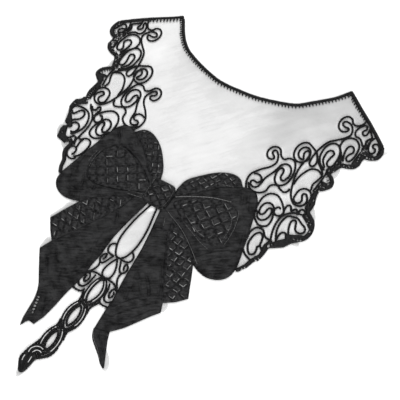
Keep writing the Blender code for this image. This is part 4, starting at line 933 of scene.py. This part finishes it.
def threads(material, place, pitch, direction, distortion=0.0):
    """Parallel threads with the given pitch in millimetres."""
    return add_node(material, "ShaderNodeTexWave",
                    {"Vector": place, "Scale": WAVE_PERIOD / (pitch * MM), "Distortion": distortion},
                    wave_type="BANDS", bands_direction=direction).outputs["Fac"]


def spread(material, value, low, high, from_low=0.3, from_high=0.7):
    """The value brought into a range."""
    return add_node(material, "ShaderNodeMapRange",
                    {"Value": value, "From Min": from_low, "From Max": from_high,
                     "To Min": low, "To Max": high}).outputs["Result"]


def colour_between(material, shader, share, first, second):
    """Give the shader a colour between two."""
    node = add_node(material, "ShaderNodeMix", data_type="RGBA")
    material.node_tree.links.new(share, node.inputs[0])
    node.inputs[6].default_value = (*first, 1.0)
    node.inputs[7].default_value = (*second, 1.0)
    material.node_tree.links.new(node.outputs[2], shader.inputs["Base Color"])


def bumped(material, shader, heights):
    """Bumps on the shader from values, each with its depth in millimetres."""
    normal = None
    for value, depth in heights:
        inputs = {"Height": value, "Distance": depth * MM, "Strength": 1.0}
        if normal is not None:
            inputs["Normal"] = normal
        normal = add_node(material, "ShaderNodeBump", inputs).outputs["Normal"]
    material.node_tree.links.new(normal, shader.inputs["Normal"])


def streaked(name, roughness, specular, streak, cloud, span, dark, bright, sheen):
    """Streaked black satin, its colour darker and lighter along the streaks as painted shade of its fine
    creases, mottled by a cloud noise, with the streaks to bump it with.
    """
    material, shader, place = principled(name, (0.008, 0.008, 0.009), roughness, specular)
    long, size = streak
    streaks = noise(material, stretched(material, place, STREAK_TURN, long), size, 4.0)
    # The streaks darken and lighten the colour too: painted shade of the fine creases, with cloud noise for
    # an uneven tone.
    crease_shade_and_mottle = math_node(material, "ADD", streaks, noise(material, place, cloud))
    colour_between(material, shader, spread(material, crease_shade_and_mottle, 0.0, 1.0, *span), dark, bright)
    size, low, high = sheen
    rough = spread(material, noise(material, place, size), low, high)
    material.node_tree.links.new(rough, shader.inputs["Roughness"])
    return material, shader, place, streaks


def satin_material():
    """Plain black satin, with streaks both ways for its fine creases, and painted crease shade along the
    first.
    """
    material, shader, place, streaks = streaked(
        "black_satin", 0.36, 0.08, (5.0, 1.7), 8.0, (0.78, 1.22),
        (0.0012, 0.0012, 0.0014), (0.0205, 0.0205, 0.0212), (3.0, 0.32, 0.46))
    crossing = noise(material, stretched(material, place, CROSSING_TURN, 4.0), 2.6)
    bumped(material, shader, [
        (streaks, 0.80), (crossing, 0.45), (noise(material, place, 0.9), 0.14),
        (threads(material, place, 0.32, "DIAGONAL"), 0.012),
    ])
    return material


def quilt_material():
    """Black satin for the quilted pieces, with painted crease shade along its streaks."""
    material, shader, place, streaks = streaked(
        "quilted_satin", 0.34, 0.10, (2.5, 1.3), 3.0, (0.80, 1.24),
        (0.0010, 0.0010, 0.0012), (0.0230, 0.0230, 0.0238), (2.0, 0.28, 0.44))
    bumped(material, shader, [
        (streaks, 0.55), (noise(material, place, 1.1), 0.22),
        (threads(material, place, 0.4, "DIAGONAL"), 0.015),
    ])
    return material


def mottled(name, colour, roughness, specular, size, dark, bright):
    """A material whose colour is mottled between two, its shader and its place."""
    material, shader, place = principled(name, colour, roughness, specular)
    share = spread(material, noise(material, place, size), 0.0, 1.0)
    colour_between(material, shader, share, dark, bright)
    return material, shader, place


def cord_material():
    """Dull black cord."""
    material, shader, place = mottled("black_cord", (0.006, 0.006, 0.007), 0.6, 0.11, 2.0,
                                      (0.0022, 0.0022, 0.0026), (0.0075, 0.0075, 0.0080))
    bumped(material, shader, [(noise(material, place, 0.5), 0.06)])
    return material


def stitch_material():
    """The thread of the satin stitch and of the couching."""
    material, shader, place = mottled("satin_stitch", (0.007, 0.007, 0.008), 0.46, 0.12, 1.6,
                                      (0.0016, 0.0016, 0.0019), (0.0110, 0.0110, 0.0115))
    bumped(material, shader, [(noise(material, place, 0.6), 0.08)])
    return material


def thread_material(name, low, high):
    """A thread that catches the light, between two greys; the light greys of the quilting threads are
    painted glints.
    """
    material, shader, place = mottled(name, (high,) * 3, 0.35, 0.5, 3.0, (low,) * 3, (high,) * 3)
    bumped(material, shader, [(threads(material, place, 0.25, "DIAGONAL"), 0.03)])
    return material


def painted_mesh_shade(material, place, value):
    """The mesh's density as it changes over the collar, painted shade and light, and thinner beside the
    cords, a painted lightening against their shade.
    """
    axes = add_node(material, "ShaderNodeSeparateXYZ", {"Vector": place}).outputs
    # Thinner out at the sides and denser low on the left: painted light and shade of the mesh, like the
    # rows below.
    out = math_node(material, "ABSOLUTE", axes["X"])
    value = math_node(material, "MULTIPLY", value, spread(material, out, 1.0, 0.6, 0.060, 0.095))
    left = spread(material, axes["X"], 0.7, 0.0, -0.10, -0.07)
    low_left = math_node(material, "MULTIPLY", left, spread(material, axes["Y"], 1.0, 0.0, 0.10, 0.14))
    value = math_node(material, "MULTIPLY", value, math_node(material, "ADD", low_left, 1.0))
    for axis, start, end, low, high in MESH_SHADES:
        value = math_node(material, "MULTIPLY", value,
                          spread(material, axes[axis], low, high, start, end))
    shade_offset = add_node(material, "ShaderNodeAttribute", attribute_name="shade_offset").outputs["Fac"]
    return math_node(material, "MULTIPLY", value, spread(material, shade_offset, 1.0, SHADE_OFFSET_DENSITY, 0.0, 1.0))


def sheer_material(name, grey, low, high, shades=False):
    """Sheer mesh: its threads are seen and its gaps let the light through."""
    material, shader, place = principled(name, (grey,) * 3, 0.7, 0.2)
    askew = turned(material, place, 4.0)
    first = threads(material, askew, 0.9, "X", 0.4)
    second = threads(material, askew, 0.9, "Y", 0.4)
    crossed = math_node(material, "MAXIMUM", first, second)
    cloud = spread(material, noise(material, place, 26.0, 2.0), 0.88, 1.12)
    folds = noise(material, stretched(material, place, FOLD_TURN, 7.0), 5.0, 1.0)
    seen = spread(material, crossed, low, high, 0.35, 1.0)
    value = math_node(material, "MULTIPLY", math_node(material, "MULTIPLY", seen, cloud),
                      spread(material, folds, 0.90, 1.10))
    if shades:
        value = painted_mesh_shade(material, place, value)
    material.node_tree.links.new(value, shader.inputs["Alpha"])
    bumped(material, shader, [(first, 0.02), (second, 0.02)])
    return material


# Pieces

def crease_heights(name, points):
    """The ridges and troughs of a cloth, each fading out towards its ends."""
    heights = np.zeros(len(points))
    for number, (across, down, to_across, to_down, width, depth) in enumerate(CREASES.get(name, [])):
        start = np.array([across, down], float)
        run = np.array([to_across, to_down], float) - start
        length = np.linalg.norm(run)
        share = np.clip((points - start) @ run / length ** 2, 0, 1)
        side = np.array([-run[1], run[0]]) / length
        bow = 0.06 * length * (1 if number % 2 else -1)
        middle = start + share[:, None] * run + (bow * np.sin(math.pi * share))[:, None] * side
        away = np.linalg.norm(points - middle, axis=1)
        fade = np.clip(np.sin(math.pi * np.clip(share, 0.04, 0.96)), 0, 1) ** 0.6
        heights += CREASE_DEPTH * depth * fade * np.exp(-(away / (CREASE_WIDTH * width)) ** 2)
    return heights


def wobble(points):
    """How unevenly the rows of quilting run."""
    return rippled(points, 24, 5, 6) * 0.7


def quilt_normals(rows):
    """The way across each of the two rows of a quilt."""
    turns = [math.radians(turn) for turn, _, _ in rows]
    return np.array([(-math.sin(turn), math.cos(turn)) for turn in turns])


def stitched_bands():
    """Satin-stitched and puckered edges on the panels: line, half width, pitch, lift, depth."""
    left_inner = smooth(mirrored(TAIL_INNER)[:-1] + LEFT_TIP_INNER)
    return {
        "tail_plain_right": (smooth(TAIL_INNER), 5.2, 1.7, 0.25, 0.17),
        "tail_plain_left": (left_inner, 5.2, 1.7, 0.25, 0.17),
        "loop_front_right": (smooth(LOOP_HEM), 7.5, 2.6, 0.10, 0.22),
        "loop_front_left": (smooth(mirrored(LOOP_HEM)), 7.5, 2.8, 0.10, 0.20),
    }


def panel_heights(name, kind, loops):
    """The height function of a satin panel."""
    samples = borders_of(loops)
    seed = sum(map(ord, name))
    quilted = name in QUILTS
    band = stitched_bands().get(name)
    rim = PANELS[kind].rim

    def height(points):
        edge, _ = nearest(points, samples)
        top = PANELS[kind].top + (0.07 if quilted else 0.16) * ripple(points, 24, seed)
        top += (0.03 if quilted else 0.07) * ripple(points, 7, seed + 1)
        top += crease_heights(name, points)
        if quilted:
            rows, puff, _ = QUILTS[name]
            bent = points + wobble(points)
            shares = [np.abs(2 * ((bent @ normal - start) / pitch % 1.0) - 1) ** 4.5
                      for normal, (_, pitch, start) in zip(quilt_normals(rows), rows)]
            top += puff * ((1 - shares[0]) * (1 - shares[1]) - 0.45)
        if band:
            route, half_width, pitch, lift, depth = band
            line, places = paced(route, 0.2)
            away, number = nearest(points, line)
            share = np.clip(1 - (away / half_width) ** 2, 0, 1)
            top += lift * share + depth * share ** 0.5 * np.cos(math.tau * places[number] / pitch)
        if kind == "loop_front":
            inset = node_loops(name.replace("front", "inset"))[0]
            inner, _ = nearest(points, refined(inset, 0.4))
            sunk = np.where(within(points, inset), np.clip(inner / 2.0, 0, 1), 0)
            top = top * (1 - sunk) + BARE_LEVEL * sunk
        top = np.maximum(top, rim - 0.1)
        rise = 1 - np.exp(-edge ** 2)
        return rim + (top - rim) * rise + 0.16 * np.exp(-((edge - 1.5) / 0.6) ** 2)

    return height


def declare_sheet(outline, shown=None):
    """Work out the width, length and area of a laid cloth whose flat cut is what shows of it; they are not
    used.
    """
    width, length = (outline.max(axis=0) - outline.min(axis=0)) * MM
    width, length = max(width, 0.01), max(length, 0.01)
    area = max((shown or abs(area_of(outline))) * MM * MM, 0.31 * width * length)


def add_panel(name, kind, materials, grow=0.2):
    """A satin panel on its solid's form: its outer loop and its height function."""
    loops = node_loops(name)
    if kind == "loop_front":
        loops = loops[:1]
    if name == "tail_plain_left":
        loops += [hole_loop(gap) for gap in TAIL_GAPS]
    if kind == "tail_plain":
        loops[0][loops[0][:, 1] < TAIL_TOP, 1] -= TAIL_REACH
    loops[0] = grown(loops[0], grow)
    height = panel_heights(name, kind, loops)
    material = materials["quilt" if name in QUILTS else "satin"]
    piece = patch(f"satin_{name}", loops, height, PANELS[kind].step, material, SKIRT, seed=3)
    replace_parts(piece, name)
    if name in QUILTS:
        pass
    else:
        declare_sheet(loops[0])
    return loops[0], height


def quilt_threads(name, loop, height, light, dim_glints, dark, seed):
    """Light threads inside the two lower sides of each quilted cell, painted glints on the puffs' lower
    edges, and dark ones along the grooves.
    """
    draw = np.random.default_rng(seed)
    rows, _, glint_share = QUILTS[name]
    normals = quilt_normals(rows)
    pitches, starts = [row[1] for row in rows], [row[2] for row in rows]
    solve = np.linalg.inv(normals)

    def corner(i, j):
        place = solve @ np.array([starts[0] + i * pitches[0], starts[1] + j * pitches[1]])
        return place - wobble(place[None, :])[0]

    low, high = loop.min(axis=0), loop.max(axis=0)
    centre, reach = (low + high) / 2, np.linalg.norm(high - low) / 2
    spans = []
    for normal, pitch, start in zip(normals, pitches, starts):
        middle = (normal @ centre - start) / pitch
        spans.append(range(int(middle - reach / pitch) - 1, int(middle + reach / pitch) + 2))
    pieces = []
    for i in spans[0]:
        for j in spans[1]:
            corners = [corner(i, j), corner(i + 1, j), corner(i + 1, j + 1), corner(i, j + 1)]
            middle = sum(corners) / 4
            if not within(middle[None, :], loop)[0]:
                continue
            inner = [middle + (place - middle) * draw.uniform(*CELL_INNER) for place in corners]
            # The sides by the lowest corner face the front light: the light threads laid there are painted
            # glints.
            lowest = max(range(4), key=lambda k: inner[k][1])
            for end in (inner[lowest - 1], inner[(lowest + 1) % 4]):
                if draw.random() < glint_share:
                    gathered = light if draw.random() < BRIGHT_GLINT_SHARE else dim_glints
                    pieces.append((gathered, inner[lowest], inner[lowest] + (end - inner[lowest])
                                   * draw.uniform(*GLINT_LENGTH), draw.uniform(*GLINT_THREAD)))
            for first, second in ((corners[0], corners[1]), (corners[1], corners[2])):
                for begin, end in GROOVE_PARTS:
                    pieces.append((dark, first + (second - first) * begin,
                                   first + (second - first) * end, DARK_THREAD))
    ends = np.array([place for _, begin, end, _ in pieces for place in (begin, end)])
    edge, _ = nearest(ends, refined(loop, 0.4))
    inside = within(ends, loop) & (edge > 0.9)
    levels = height(ends) + 0.1
    for number, (gathered, begin, end, radius) in enumerate(pieces):
        if inside[2 * number] and inside[2 * number + 1]:
            gathered.stitch((*begin, levels[2 * number]), (*end, levels[2 * number + 1]),
                            radius, rise=draw.uniform(0.05, 0.25))


def hidden_under(points, covers):
    """Which points of a line lie under the bow."""
    under = np.zeros(len(points), bool)
    for cover in covers:
        under |= within(points, cover)
    return under


def lay_cord(tubes, line, covers, radius, centre):
    """A couched cord along a line, left out where the bow hides it."""
    points, _ = paced(line, CORD_STEP)
    under = hidden_under(points, covers)
    deep = np.convolve(under, np.ones(HIDDEN_RUN), mode="same") > HIDDEN_RUN - 0.5
    near = np.pad(under.astype(float), SINK_RUN // 2, mode="edge")
    sink = CORD_SINK * np.convolve(near, np.ones(SINK_RUN) / SINK_RUN, mode="valid")
    places = np.column_stack([points, centre - sink + CORD_RIPPLE * ripple(points, 9, 11)])
    start = None
    for i in range(len(points) + 1):
        shown = i < len(points) and not deep[i]
        if shown and start is None:
            start = i
        if not shown and start is not None:
            run = places[start:i]
            if len(run) > 4:
                radii = np.full(len(run), radius)
                radii[[0, -1]] *= 0.55
                radii[[1, -2]] *= 0.88
                tubes.add(run, radii, sides=8, twist=TWISTS_PER_MM, lobe=TWIST_LOBE)
            start = None


def couched(tubes, line, covers, half_width, draw):
    """Small threads that hold a cord down, set across it at uneven spaces."""
    points, places = paced(line, 0.3)
    ahead, across = directions(points)
    under = hidden_under(points, covers)
    level = CORD_CENTRE - 0.25
    place = COUCHING_PITCH
    while place < places[-1]:
        i = min(int(place / 0.3), len(points) - 1)
        if not under[i]:
            skew = ahead[i] * draw.uniform(-0.3, 0.3)
            begin = points[i] - across[i] * half_width + skew
            end = points[i] + across[i] * half_width - skew
            tubes.stitch((*begin, level), (*end, level), COUCHING_RADIUS, rise=half_width * 0.92)
        place += COUCHING_PITCH * draw.uniform(0.75, 1.3)


def band_heights(samples, lines, top, pitch, depth):
    """The height function of a satin-stitched band: crowned, with its threads across it."""
    placed = [paced(line, 0.2) for line in lines]
    middle = np.concatenate([line for line, _ in placed])
    places = np.concatenate([along + 37.0 * number for number, (_, along) in enumerate(placed)])

    def height(points):
        edge, _ = nearest(points, samples)
        _, number = nearest(points, middle)
        crown = top - (top - RIM_HEIGHT) * np.exp(-(edge / 0.9) ** 2)
        ridge = np.cos(math.tau * places[number] / pitch) + 0.6 * ripple(points, 2.2, 9)
        return crown + depth * ridge + 0.10 * ripple(points, 6, 4)

    return height


def teeth(tubes, line, side, pitch, lean, reach, draw):
    """Blanket stitches: slanted threads from the edge into the mesh."""
    points, places = paced(line, 0.25)
    ahead, across = directions(points)
    place = pitch * 0.4
    while place < places[-1]:
        i = min(int(place / 0.25), len(points) - 1)
        length = reach * draw.uniform(0.9, 1.1)
        slant = lean * draw.uniform(0.7, 1.3)
        end = points[i] + side * across[i] * length + ahead[i] * slant * length
        tubes.stitch((*points[i], 2.0), (*end, 1.25), draw.uniform(*TOOTH_RADIUS), 0.25, 6, 6)
        place += pitch * draw.uniform(0.93, 1.07)


def inner_strip(line):
    """The inner side of the left shoulder edge, where only its stitches show."""
    points = paced(line, 1.0)[0][3:30]
    _, out = directions(points)
    return np.concatenate([points - 0.9 * out, (points - 4.0 * out)[::-1]])


def scroll_lines(side):
    """The lines of the scrollwork's cords on one side."""
    lines = [line_of(SIDES[side](route)) for route in SCROLLS.values()]
    if side == "left":
        lines = lines[:MIRRORED_SCROLLS] + [smooth(route) for route in LEFT_FOOT]
    return lines


def mark_shade_offset(piece, lines):
    """Mark where the mesh is thinned along the cords as a painted lightening against their shade: 1 beside
    a cord, and 0 well away.
    """
    samples = shifted(np.concatenate([paced(line, 0.8)[0] for line in lines]), DRAPED)
    places = np.empty(len(piece.data.vertices) * 3)
    piece.data.vertices.foreach_get("co", places)
    places = places.reshape(-1, 3) / MM
    points = np.stack([places[:, 0] + MID_ACROSS, MID_DOWN - places[:, 1]], axis=1)
    away, _ = nearest(points, samples)
    marked = 1 - np.clip((away - SHADE_OFFSET_NEAR) / (SHADE_OFFSET_FAR - SHADE_OFFSET_NEAR), 0, 1)
    piece.data.attributes.new("shade_offset", "FLOAT", "POINT").data.foreach_set("value", marked)


def add_yoke(material):
    """The mesh ground of the whole collar."""
    loops = node_loops("mesh_ground")
    loops[0] = grown(loops[0], 0.3)

    def height(points):
        return YOKE_HEIGHT + 0.16 * ripple(points, 46, 2) + crease_heights("ground", points)

    yoke = patch("sheer_yoke", loops, height, YOKE_STEP, material, seed=5)
    mark_shade_offset(yoke, scroll_lines("left") + scroll_lines("right"))
    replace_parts(yoke, "mesh_ground")
    declare_sheet(loops[0])


def add_bow(materials):
    """The satin panels of the bow, with their quilting threads."""
    light, dim_glints, dark = Tubes(), Tubes(), Tubes()
    laid = []
    for side in SIDES:
        for kind in list(PANELS)[:5]:
            name = f"{kind}_{side}"
            laid.append(add_panel(name, kind, materials))
            if name in QUILTS:
                quilt_threads(name, *laid[-1], light, dim_glints, dark, len(name) * 7)
    laid.append(add_panel("tail_tip_right", "tail_tip", materials))
    laid.append(add_panel("bow_knot", "bow_knot", materials, grow=0.6))
    quilt_threads("bow_knot", *laid[-1], light, dim_glints, dark, 77)

    for route, radius in LONE_THREADS:
        line, _ = paced(smooth(route), 0.5)
        levels = np.full(len(line), BARE_LEVEL)
        for loop, height in laid:
            inside = within(line, loop)
            if inside.any():
                levels[inside] = np.maximum(levels[inside], height(line[inside]))
        i = 0
        while i < len(line) - 3:
            j = min(i + 5, len(line) - 1)
            dim_glints.stitch((*line[i], levels[i] + 0.2), (*line[j], levels[j] + 0.2), radius, rise=0.12)
            i = j + (1 if radius < 0.33 else 0)
    # The light and grey quilting threads carry painted glints.
    light.piece("quilting_threads_glint", materials["bright"], "black_satin")
    dim_glints.piece("quilting_threads_dim_glint", materials["grey"], "black_satin")
    dark.piece("quilting_threads_dark", materials["stitch"], "black_satin")


def lay_cords(lines, covers, radius, room, draw):
    """Cords along lines and the threads that hold them down, as two gathered meshes."""
    cords, couching = Tubes(), Tubes()
    for number, line in enumerate(lines):
        lay_cord(cords, line, covers, radius, CORD_CENTRE + CORD_STAGGER * (number % 3))
        couched(couching, line, covers, CORD_RADIUS + room, draw)
    return cords, couching


def starting(start):
    """The names of the CAD nodes that begin in a given way."""
    return [name for name in sorted(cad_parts) if name.startswith(start)]


def add_pendant(materials, covers, draw):
    """The cords of the pendant, its light threads and its satin leaf."""
    lines = [smooth(route) for route in PENDANT_CENTRE + PENDANT_SIDE + CHAIN_SIDES]
    lines += [smooth(mirrored(route)) for route in PENDANT_SIDE] + [lens_line(lens) for lens in CHAIN]
    cords, couching = lay_cords(lines, covers, PENDANT_RADIUS, 0.1, draw)
    for route in LEAF_CORDS:
        lay_cord(cords, smooth(route), covers, LEAF_RADIUS, LEAF_CORD_CENTRE)
    lights = Tubes()
    lit = [(lens_line(lens, first, last, 5), CHAIN_LIGHT_HEIGHT) for lens, first, last in CHAIN_LIGHTS]
    lit += [(smooth(route), LEAF_LIGHT_HEIGHT) for route in LEAF_LIGHTS]
    for line, level in lit:
        lights.add(np.column_stack([line, np.full(len(line), level)]), LIGHT_RADIUS)
    lights.piece("pendant_light_threads", materials["pale"], "black_cord")
    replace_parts(cords.piece("pendant_cords", materials["cord"], "black_cord"), *starting("pendant_cord"))
    couching.piece("pendant_couching", materials["stitch"], "black_cord")

    tip = starting("pendant_tip")
    loops = [loop for name in tip for loop in node_loops(name)]
    height = band_heights(borders_of(loops), [np.array(LEAF_MIDDLE)], *LEAF_BAND)
    leaf = patch("pendant_leaf", loops, height, LEAF_STEP, materials["stitch"], SKIRT)
    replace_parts(leaf, *tip)
    declare_sheet(np.concatenate(loops),
                  sum(abs(area_of(loop)) for loop in loops))


def add_edge(name, lines, material):
    """A satin-stitched edge with the small gaps in it, without what was trimmed."""
    loops = node_loops(name)
    cuts = [inner_strip(lines[0])] if name == "shoulder_edge_left" else []
    trims = []
    if name.startswith("scallop"):
        loops += [hole_loop(hole) for hole in HOLES
                  if within(np.array([hole[:2]], float), loops[0])[0]]
        trims = LEFT_TRIMS if name.endswith("left") else RIGHT_TRIMS
        trims = [np.array(trim, float) for trim in trims]
    height = band_heights(borders_of(loops + trims), lines, *EDGE_BAND)
    piece = patch(f"stitched_{name}", loops, height, EDGE_STEP, material, SKIRT, cuts=cuts + trims)
    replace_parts(piece, name)


def add_edges(material, draw):
    """The neck edge, the shoulder edges and the scalloped edges, with their blanket stitches."""
    edges = {"neck_edge": [smooth(NECKLINE)]}
    for side, of in SIDES.items():
        edges[f"shoulder_edge_{side}"] = [smooth(of(SHOULDER))]
        edges[f"scallop_edge_{side}"] = [shifted(smooth(of(table)), SETTLED)
                                         for table in [SCALLOPS] + FILLINGS]
    for name, lines in edges.items():
        add_edge(name, lines, material)

    tubes = Tubes()
    teeth(tubes, edges["neck_edge"][0], *NECK_TEETH, draw)
    for side in SIDES:
        line, places = paced(edges[f"shoulder_edge_{side}"][0], 0.5)
        teeth(tubes, line[places < SHOULDER_TEETH_END], *SHOULDER_TEETH[side], draw)
    for begin, end in LOBE_THREADS:
        tubes.stitch((*begin, 2.1), (*end, 1.3), LOBE_THREAD_RADIUS, 0.2, 6, 6)
    tubes.piece("blanket_stitches", material, "black_cord")


def add_slips(material):
    """The loose slips of mesh outside the stitching."""
    outlines = []
    for number, slip in enumerate(SLIPS):
        outline = smooth(slip + slip[:1], 4)[:-1]
        outlines.append(outline + 0.35 * rippled(outline, 4, number, number + 50))

    def height(points):
        return SLIP_HEIGHT + 0.45 * ripple(points, 9, 8)

    piece = patch("loose_mesh", outlines, height, SLIP_STEP, material)
    shown = sum(abs(area_of(outline)) for outline in outlines) * MM * MM


def add_collar():
    """All pieces of the collar."""
    materials = {
        "satin": satin_material(), "quilt": quilt_material(), "cord": cord_material(),
        "stitch": stitch_material(), "bright": thread_material("glint_thread", 0.08, 0.30),
        "grey": thread_material("dim_glint_thread", 0.025, 0.10),
        "pale": thread_material("pale_thread", 0.25, 0.6),
        "sheer": sheer_material("sheer_mesh", 0.38, 0.11, 0.44, shades=True),
        "slip": sheer_material("loose_mesh", 0.36, 0.26, 0.60),
    }
    draw = np.random.default_rng(20)
    covers = [node_loops(name)[0] for name in starting(("bow", "loop_back", "loop_front", "tail"))]
    add_yoke(materials["sheer"])
    add_bow(materials)
    for side in SIDES:
        cords, couching = lay_cords(scroll_lines(side), covers, CORD_RADIUS, 0.16, draw)
        piece = cords.piece(f"scroll_cords_{side}", materials["cord"], "black_cord")
        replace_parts(piece, *starting(f"scroll_{side}"))
        couching.piece(f"scroll_couching_{side}", materials["stitch"], "black_cord")
    add_pendant(materials, covers, draw)
    add_edges(materials["stitch"], draw)
    add_slips(materials["slip"])


# Camera, lights and floor

def add_camera():
    """The camera, and the scene's use of it."""
    data = bpy.data.cameras.new("camera")
    data.lens = LENS
    data.sensor_width = SENSOR_WIDTH
    data.clip_start = 0.01
    data.clip_end = 10.0
    camera = bpy.data.objects.new("camera", data)
    bpy.context.scene.collection.objects.link(camera)
    facing = Matrix((RIGHT, UP, BACK)).transposed().to_4x4()
    camera.matrix_world = Matrix.Translation(TARGET + OFFSET) @ facing
    bpy.context.scene.camera = camera


def add_light(name, azimuth, elevation, distance, size, power):
    """A square soft light that looks at the collar, with azimuth 0 below its foot."""
    data = bpy.data.lights.new(name, "AREA")
    data.shape = "SQUARE"
    data.size = size
    data.energy = power
    light = bpy.data.objects.new(name, data)
    bpy.context.scene.collection.objects.link(light)
    a, e = math.radians(azimuth), math.radians(elevation)
    place = Vector((math.sin(a) * math.cos(e), -math.cos(a) * math.cos(e), math.sin(e))) * distance
    light.location = place
    light.rotation_euler = (-place).to_track_quat("-Z", "Y").to_euler()


def add_stage():
    """The white surroundings, the lights and the floor."""
    world = bpy.data.worlds.new("studio")
    bpy.context.scene.world = world
    world.use_nodes = True
    world.node_tree.nodes["Background"].inputs["Color"].default_value = (1.0, 1.0, 1.0, 1.0)
    world.node_tree.nodes["Background"].inputs["Strength"].default_value = WORLD_LIGHT
    for light in LIGHTS:
        add_light(*light)
    data = bpy.data.meshes.new("floor")
    half = FLOOR_HALF
    corners = [(-half, -half), (half, -half), (half, half), (-half, half)]
    data.from_pydata([(*corner, FLOOR_LEVEL) for corner in corners], [], [(0, 1, 2, 3)])
    data.materials.append(principled("floor", (0.88, 0.88, 0.88), 0.9, 0.1)[0])
    floor = bpy.data.objects.new("floor", data)
    bpy.context.scene.collection.objects.link(floor)
    view = bpy.context.scene.view_settings
    view.view_transform = "Standard"
    view.look = "None"
    view.exposure = 0.0
    view.gamma = 1.0


add_camera()
add_stage()
add_collar()
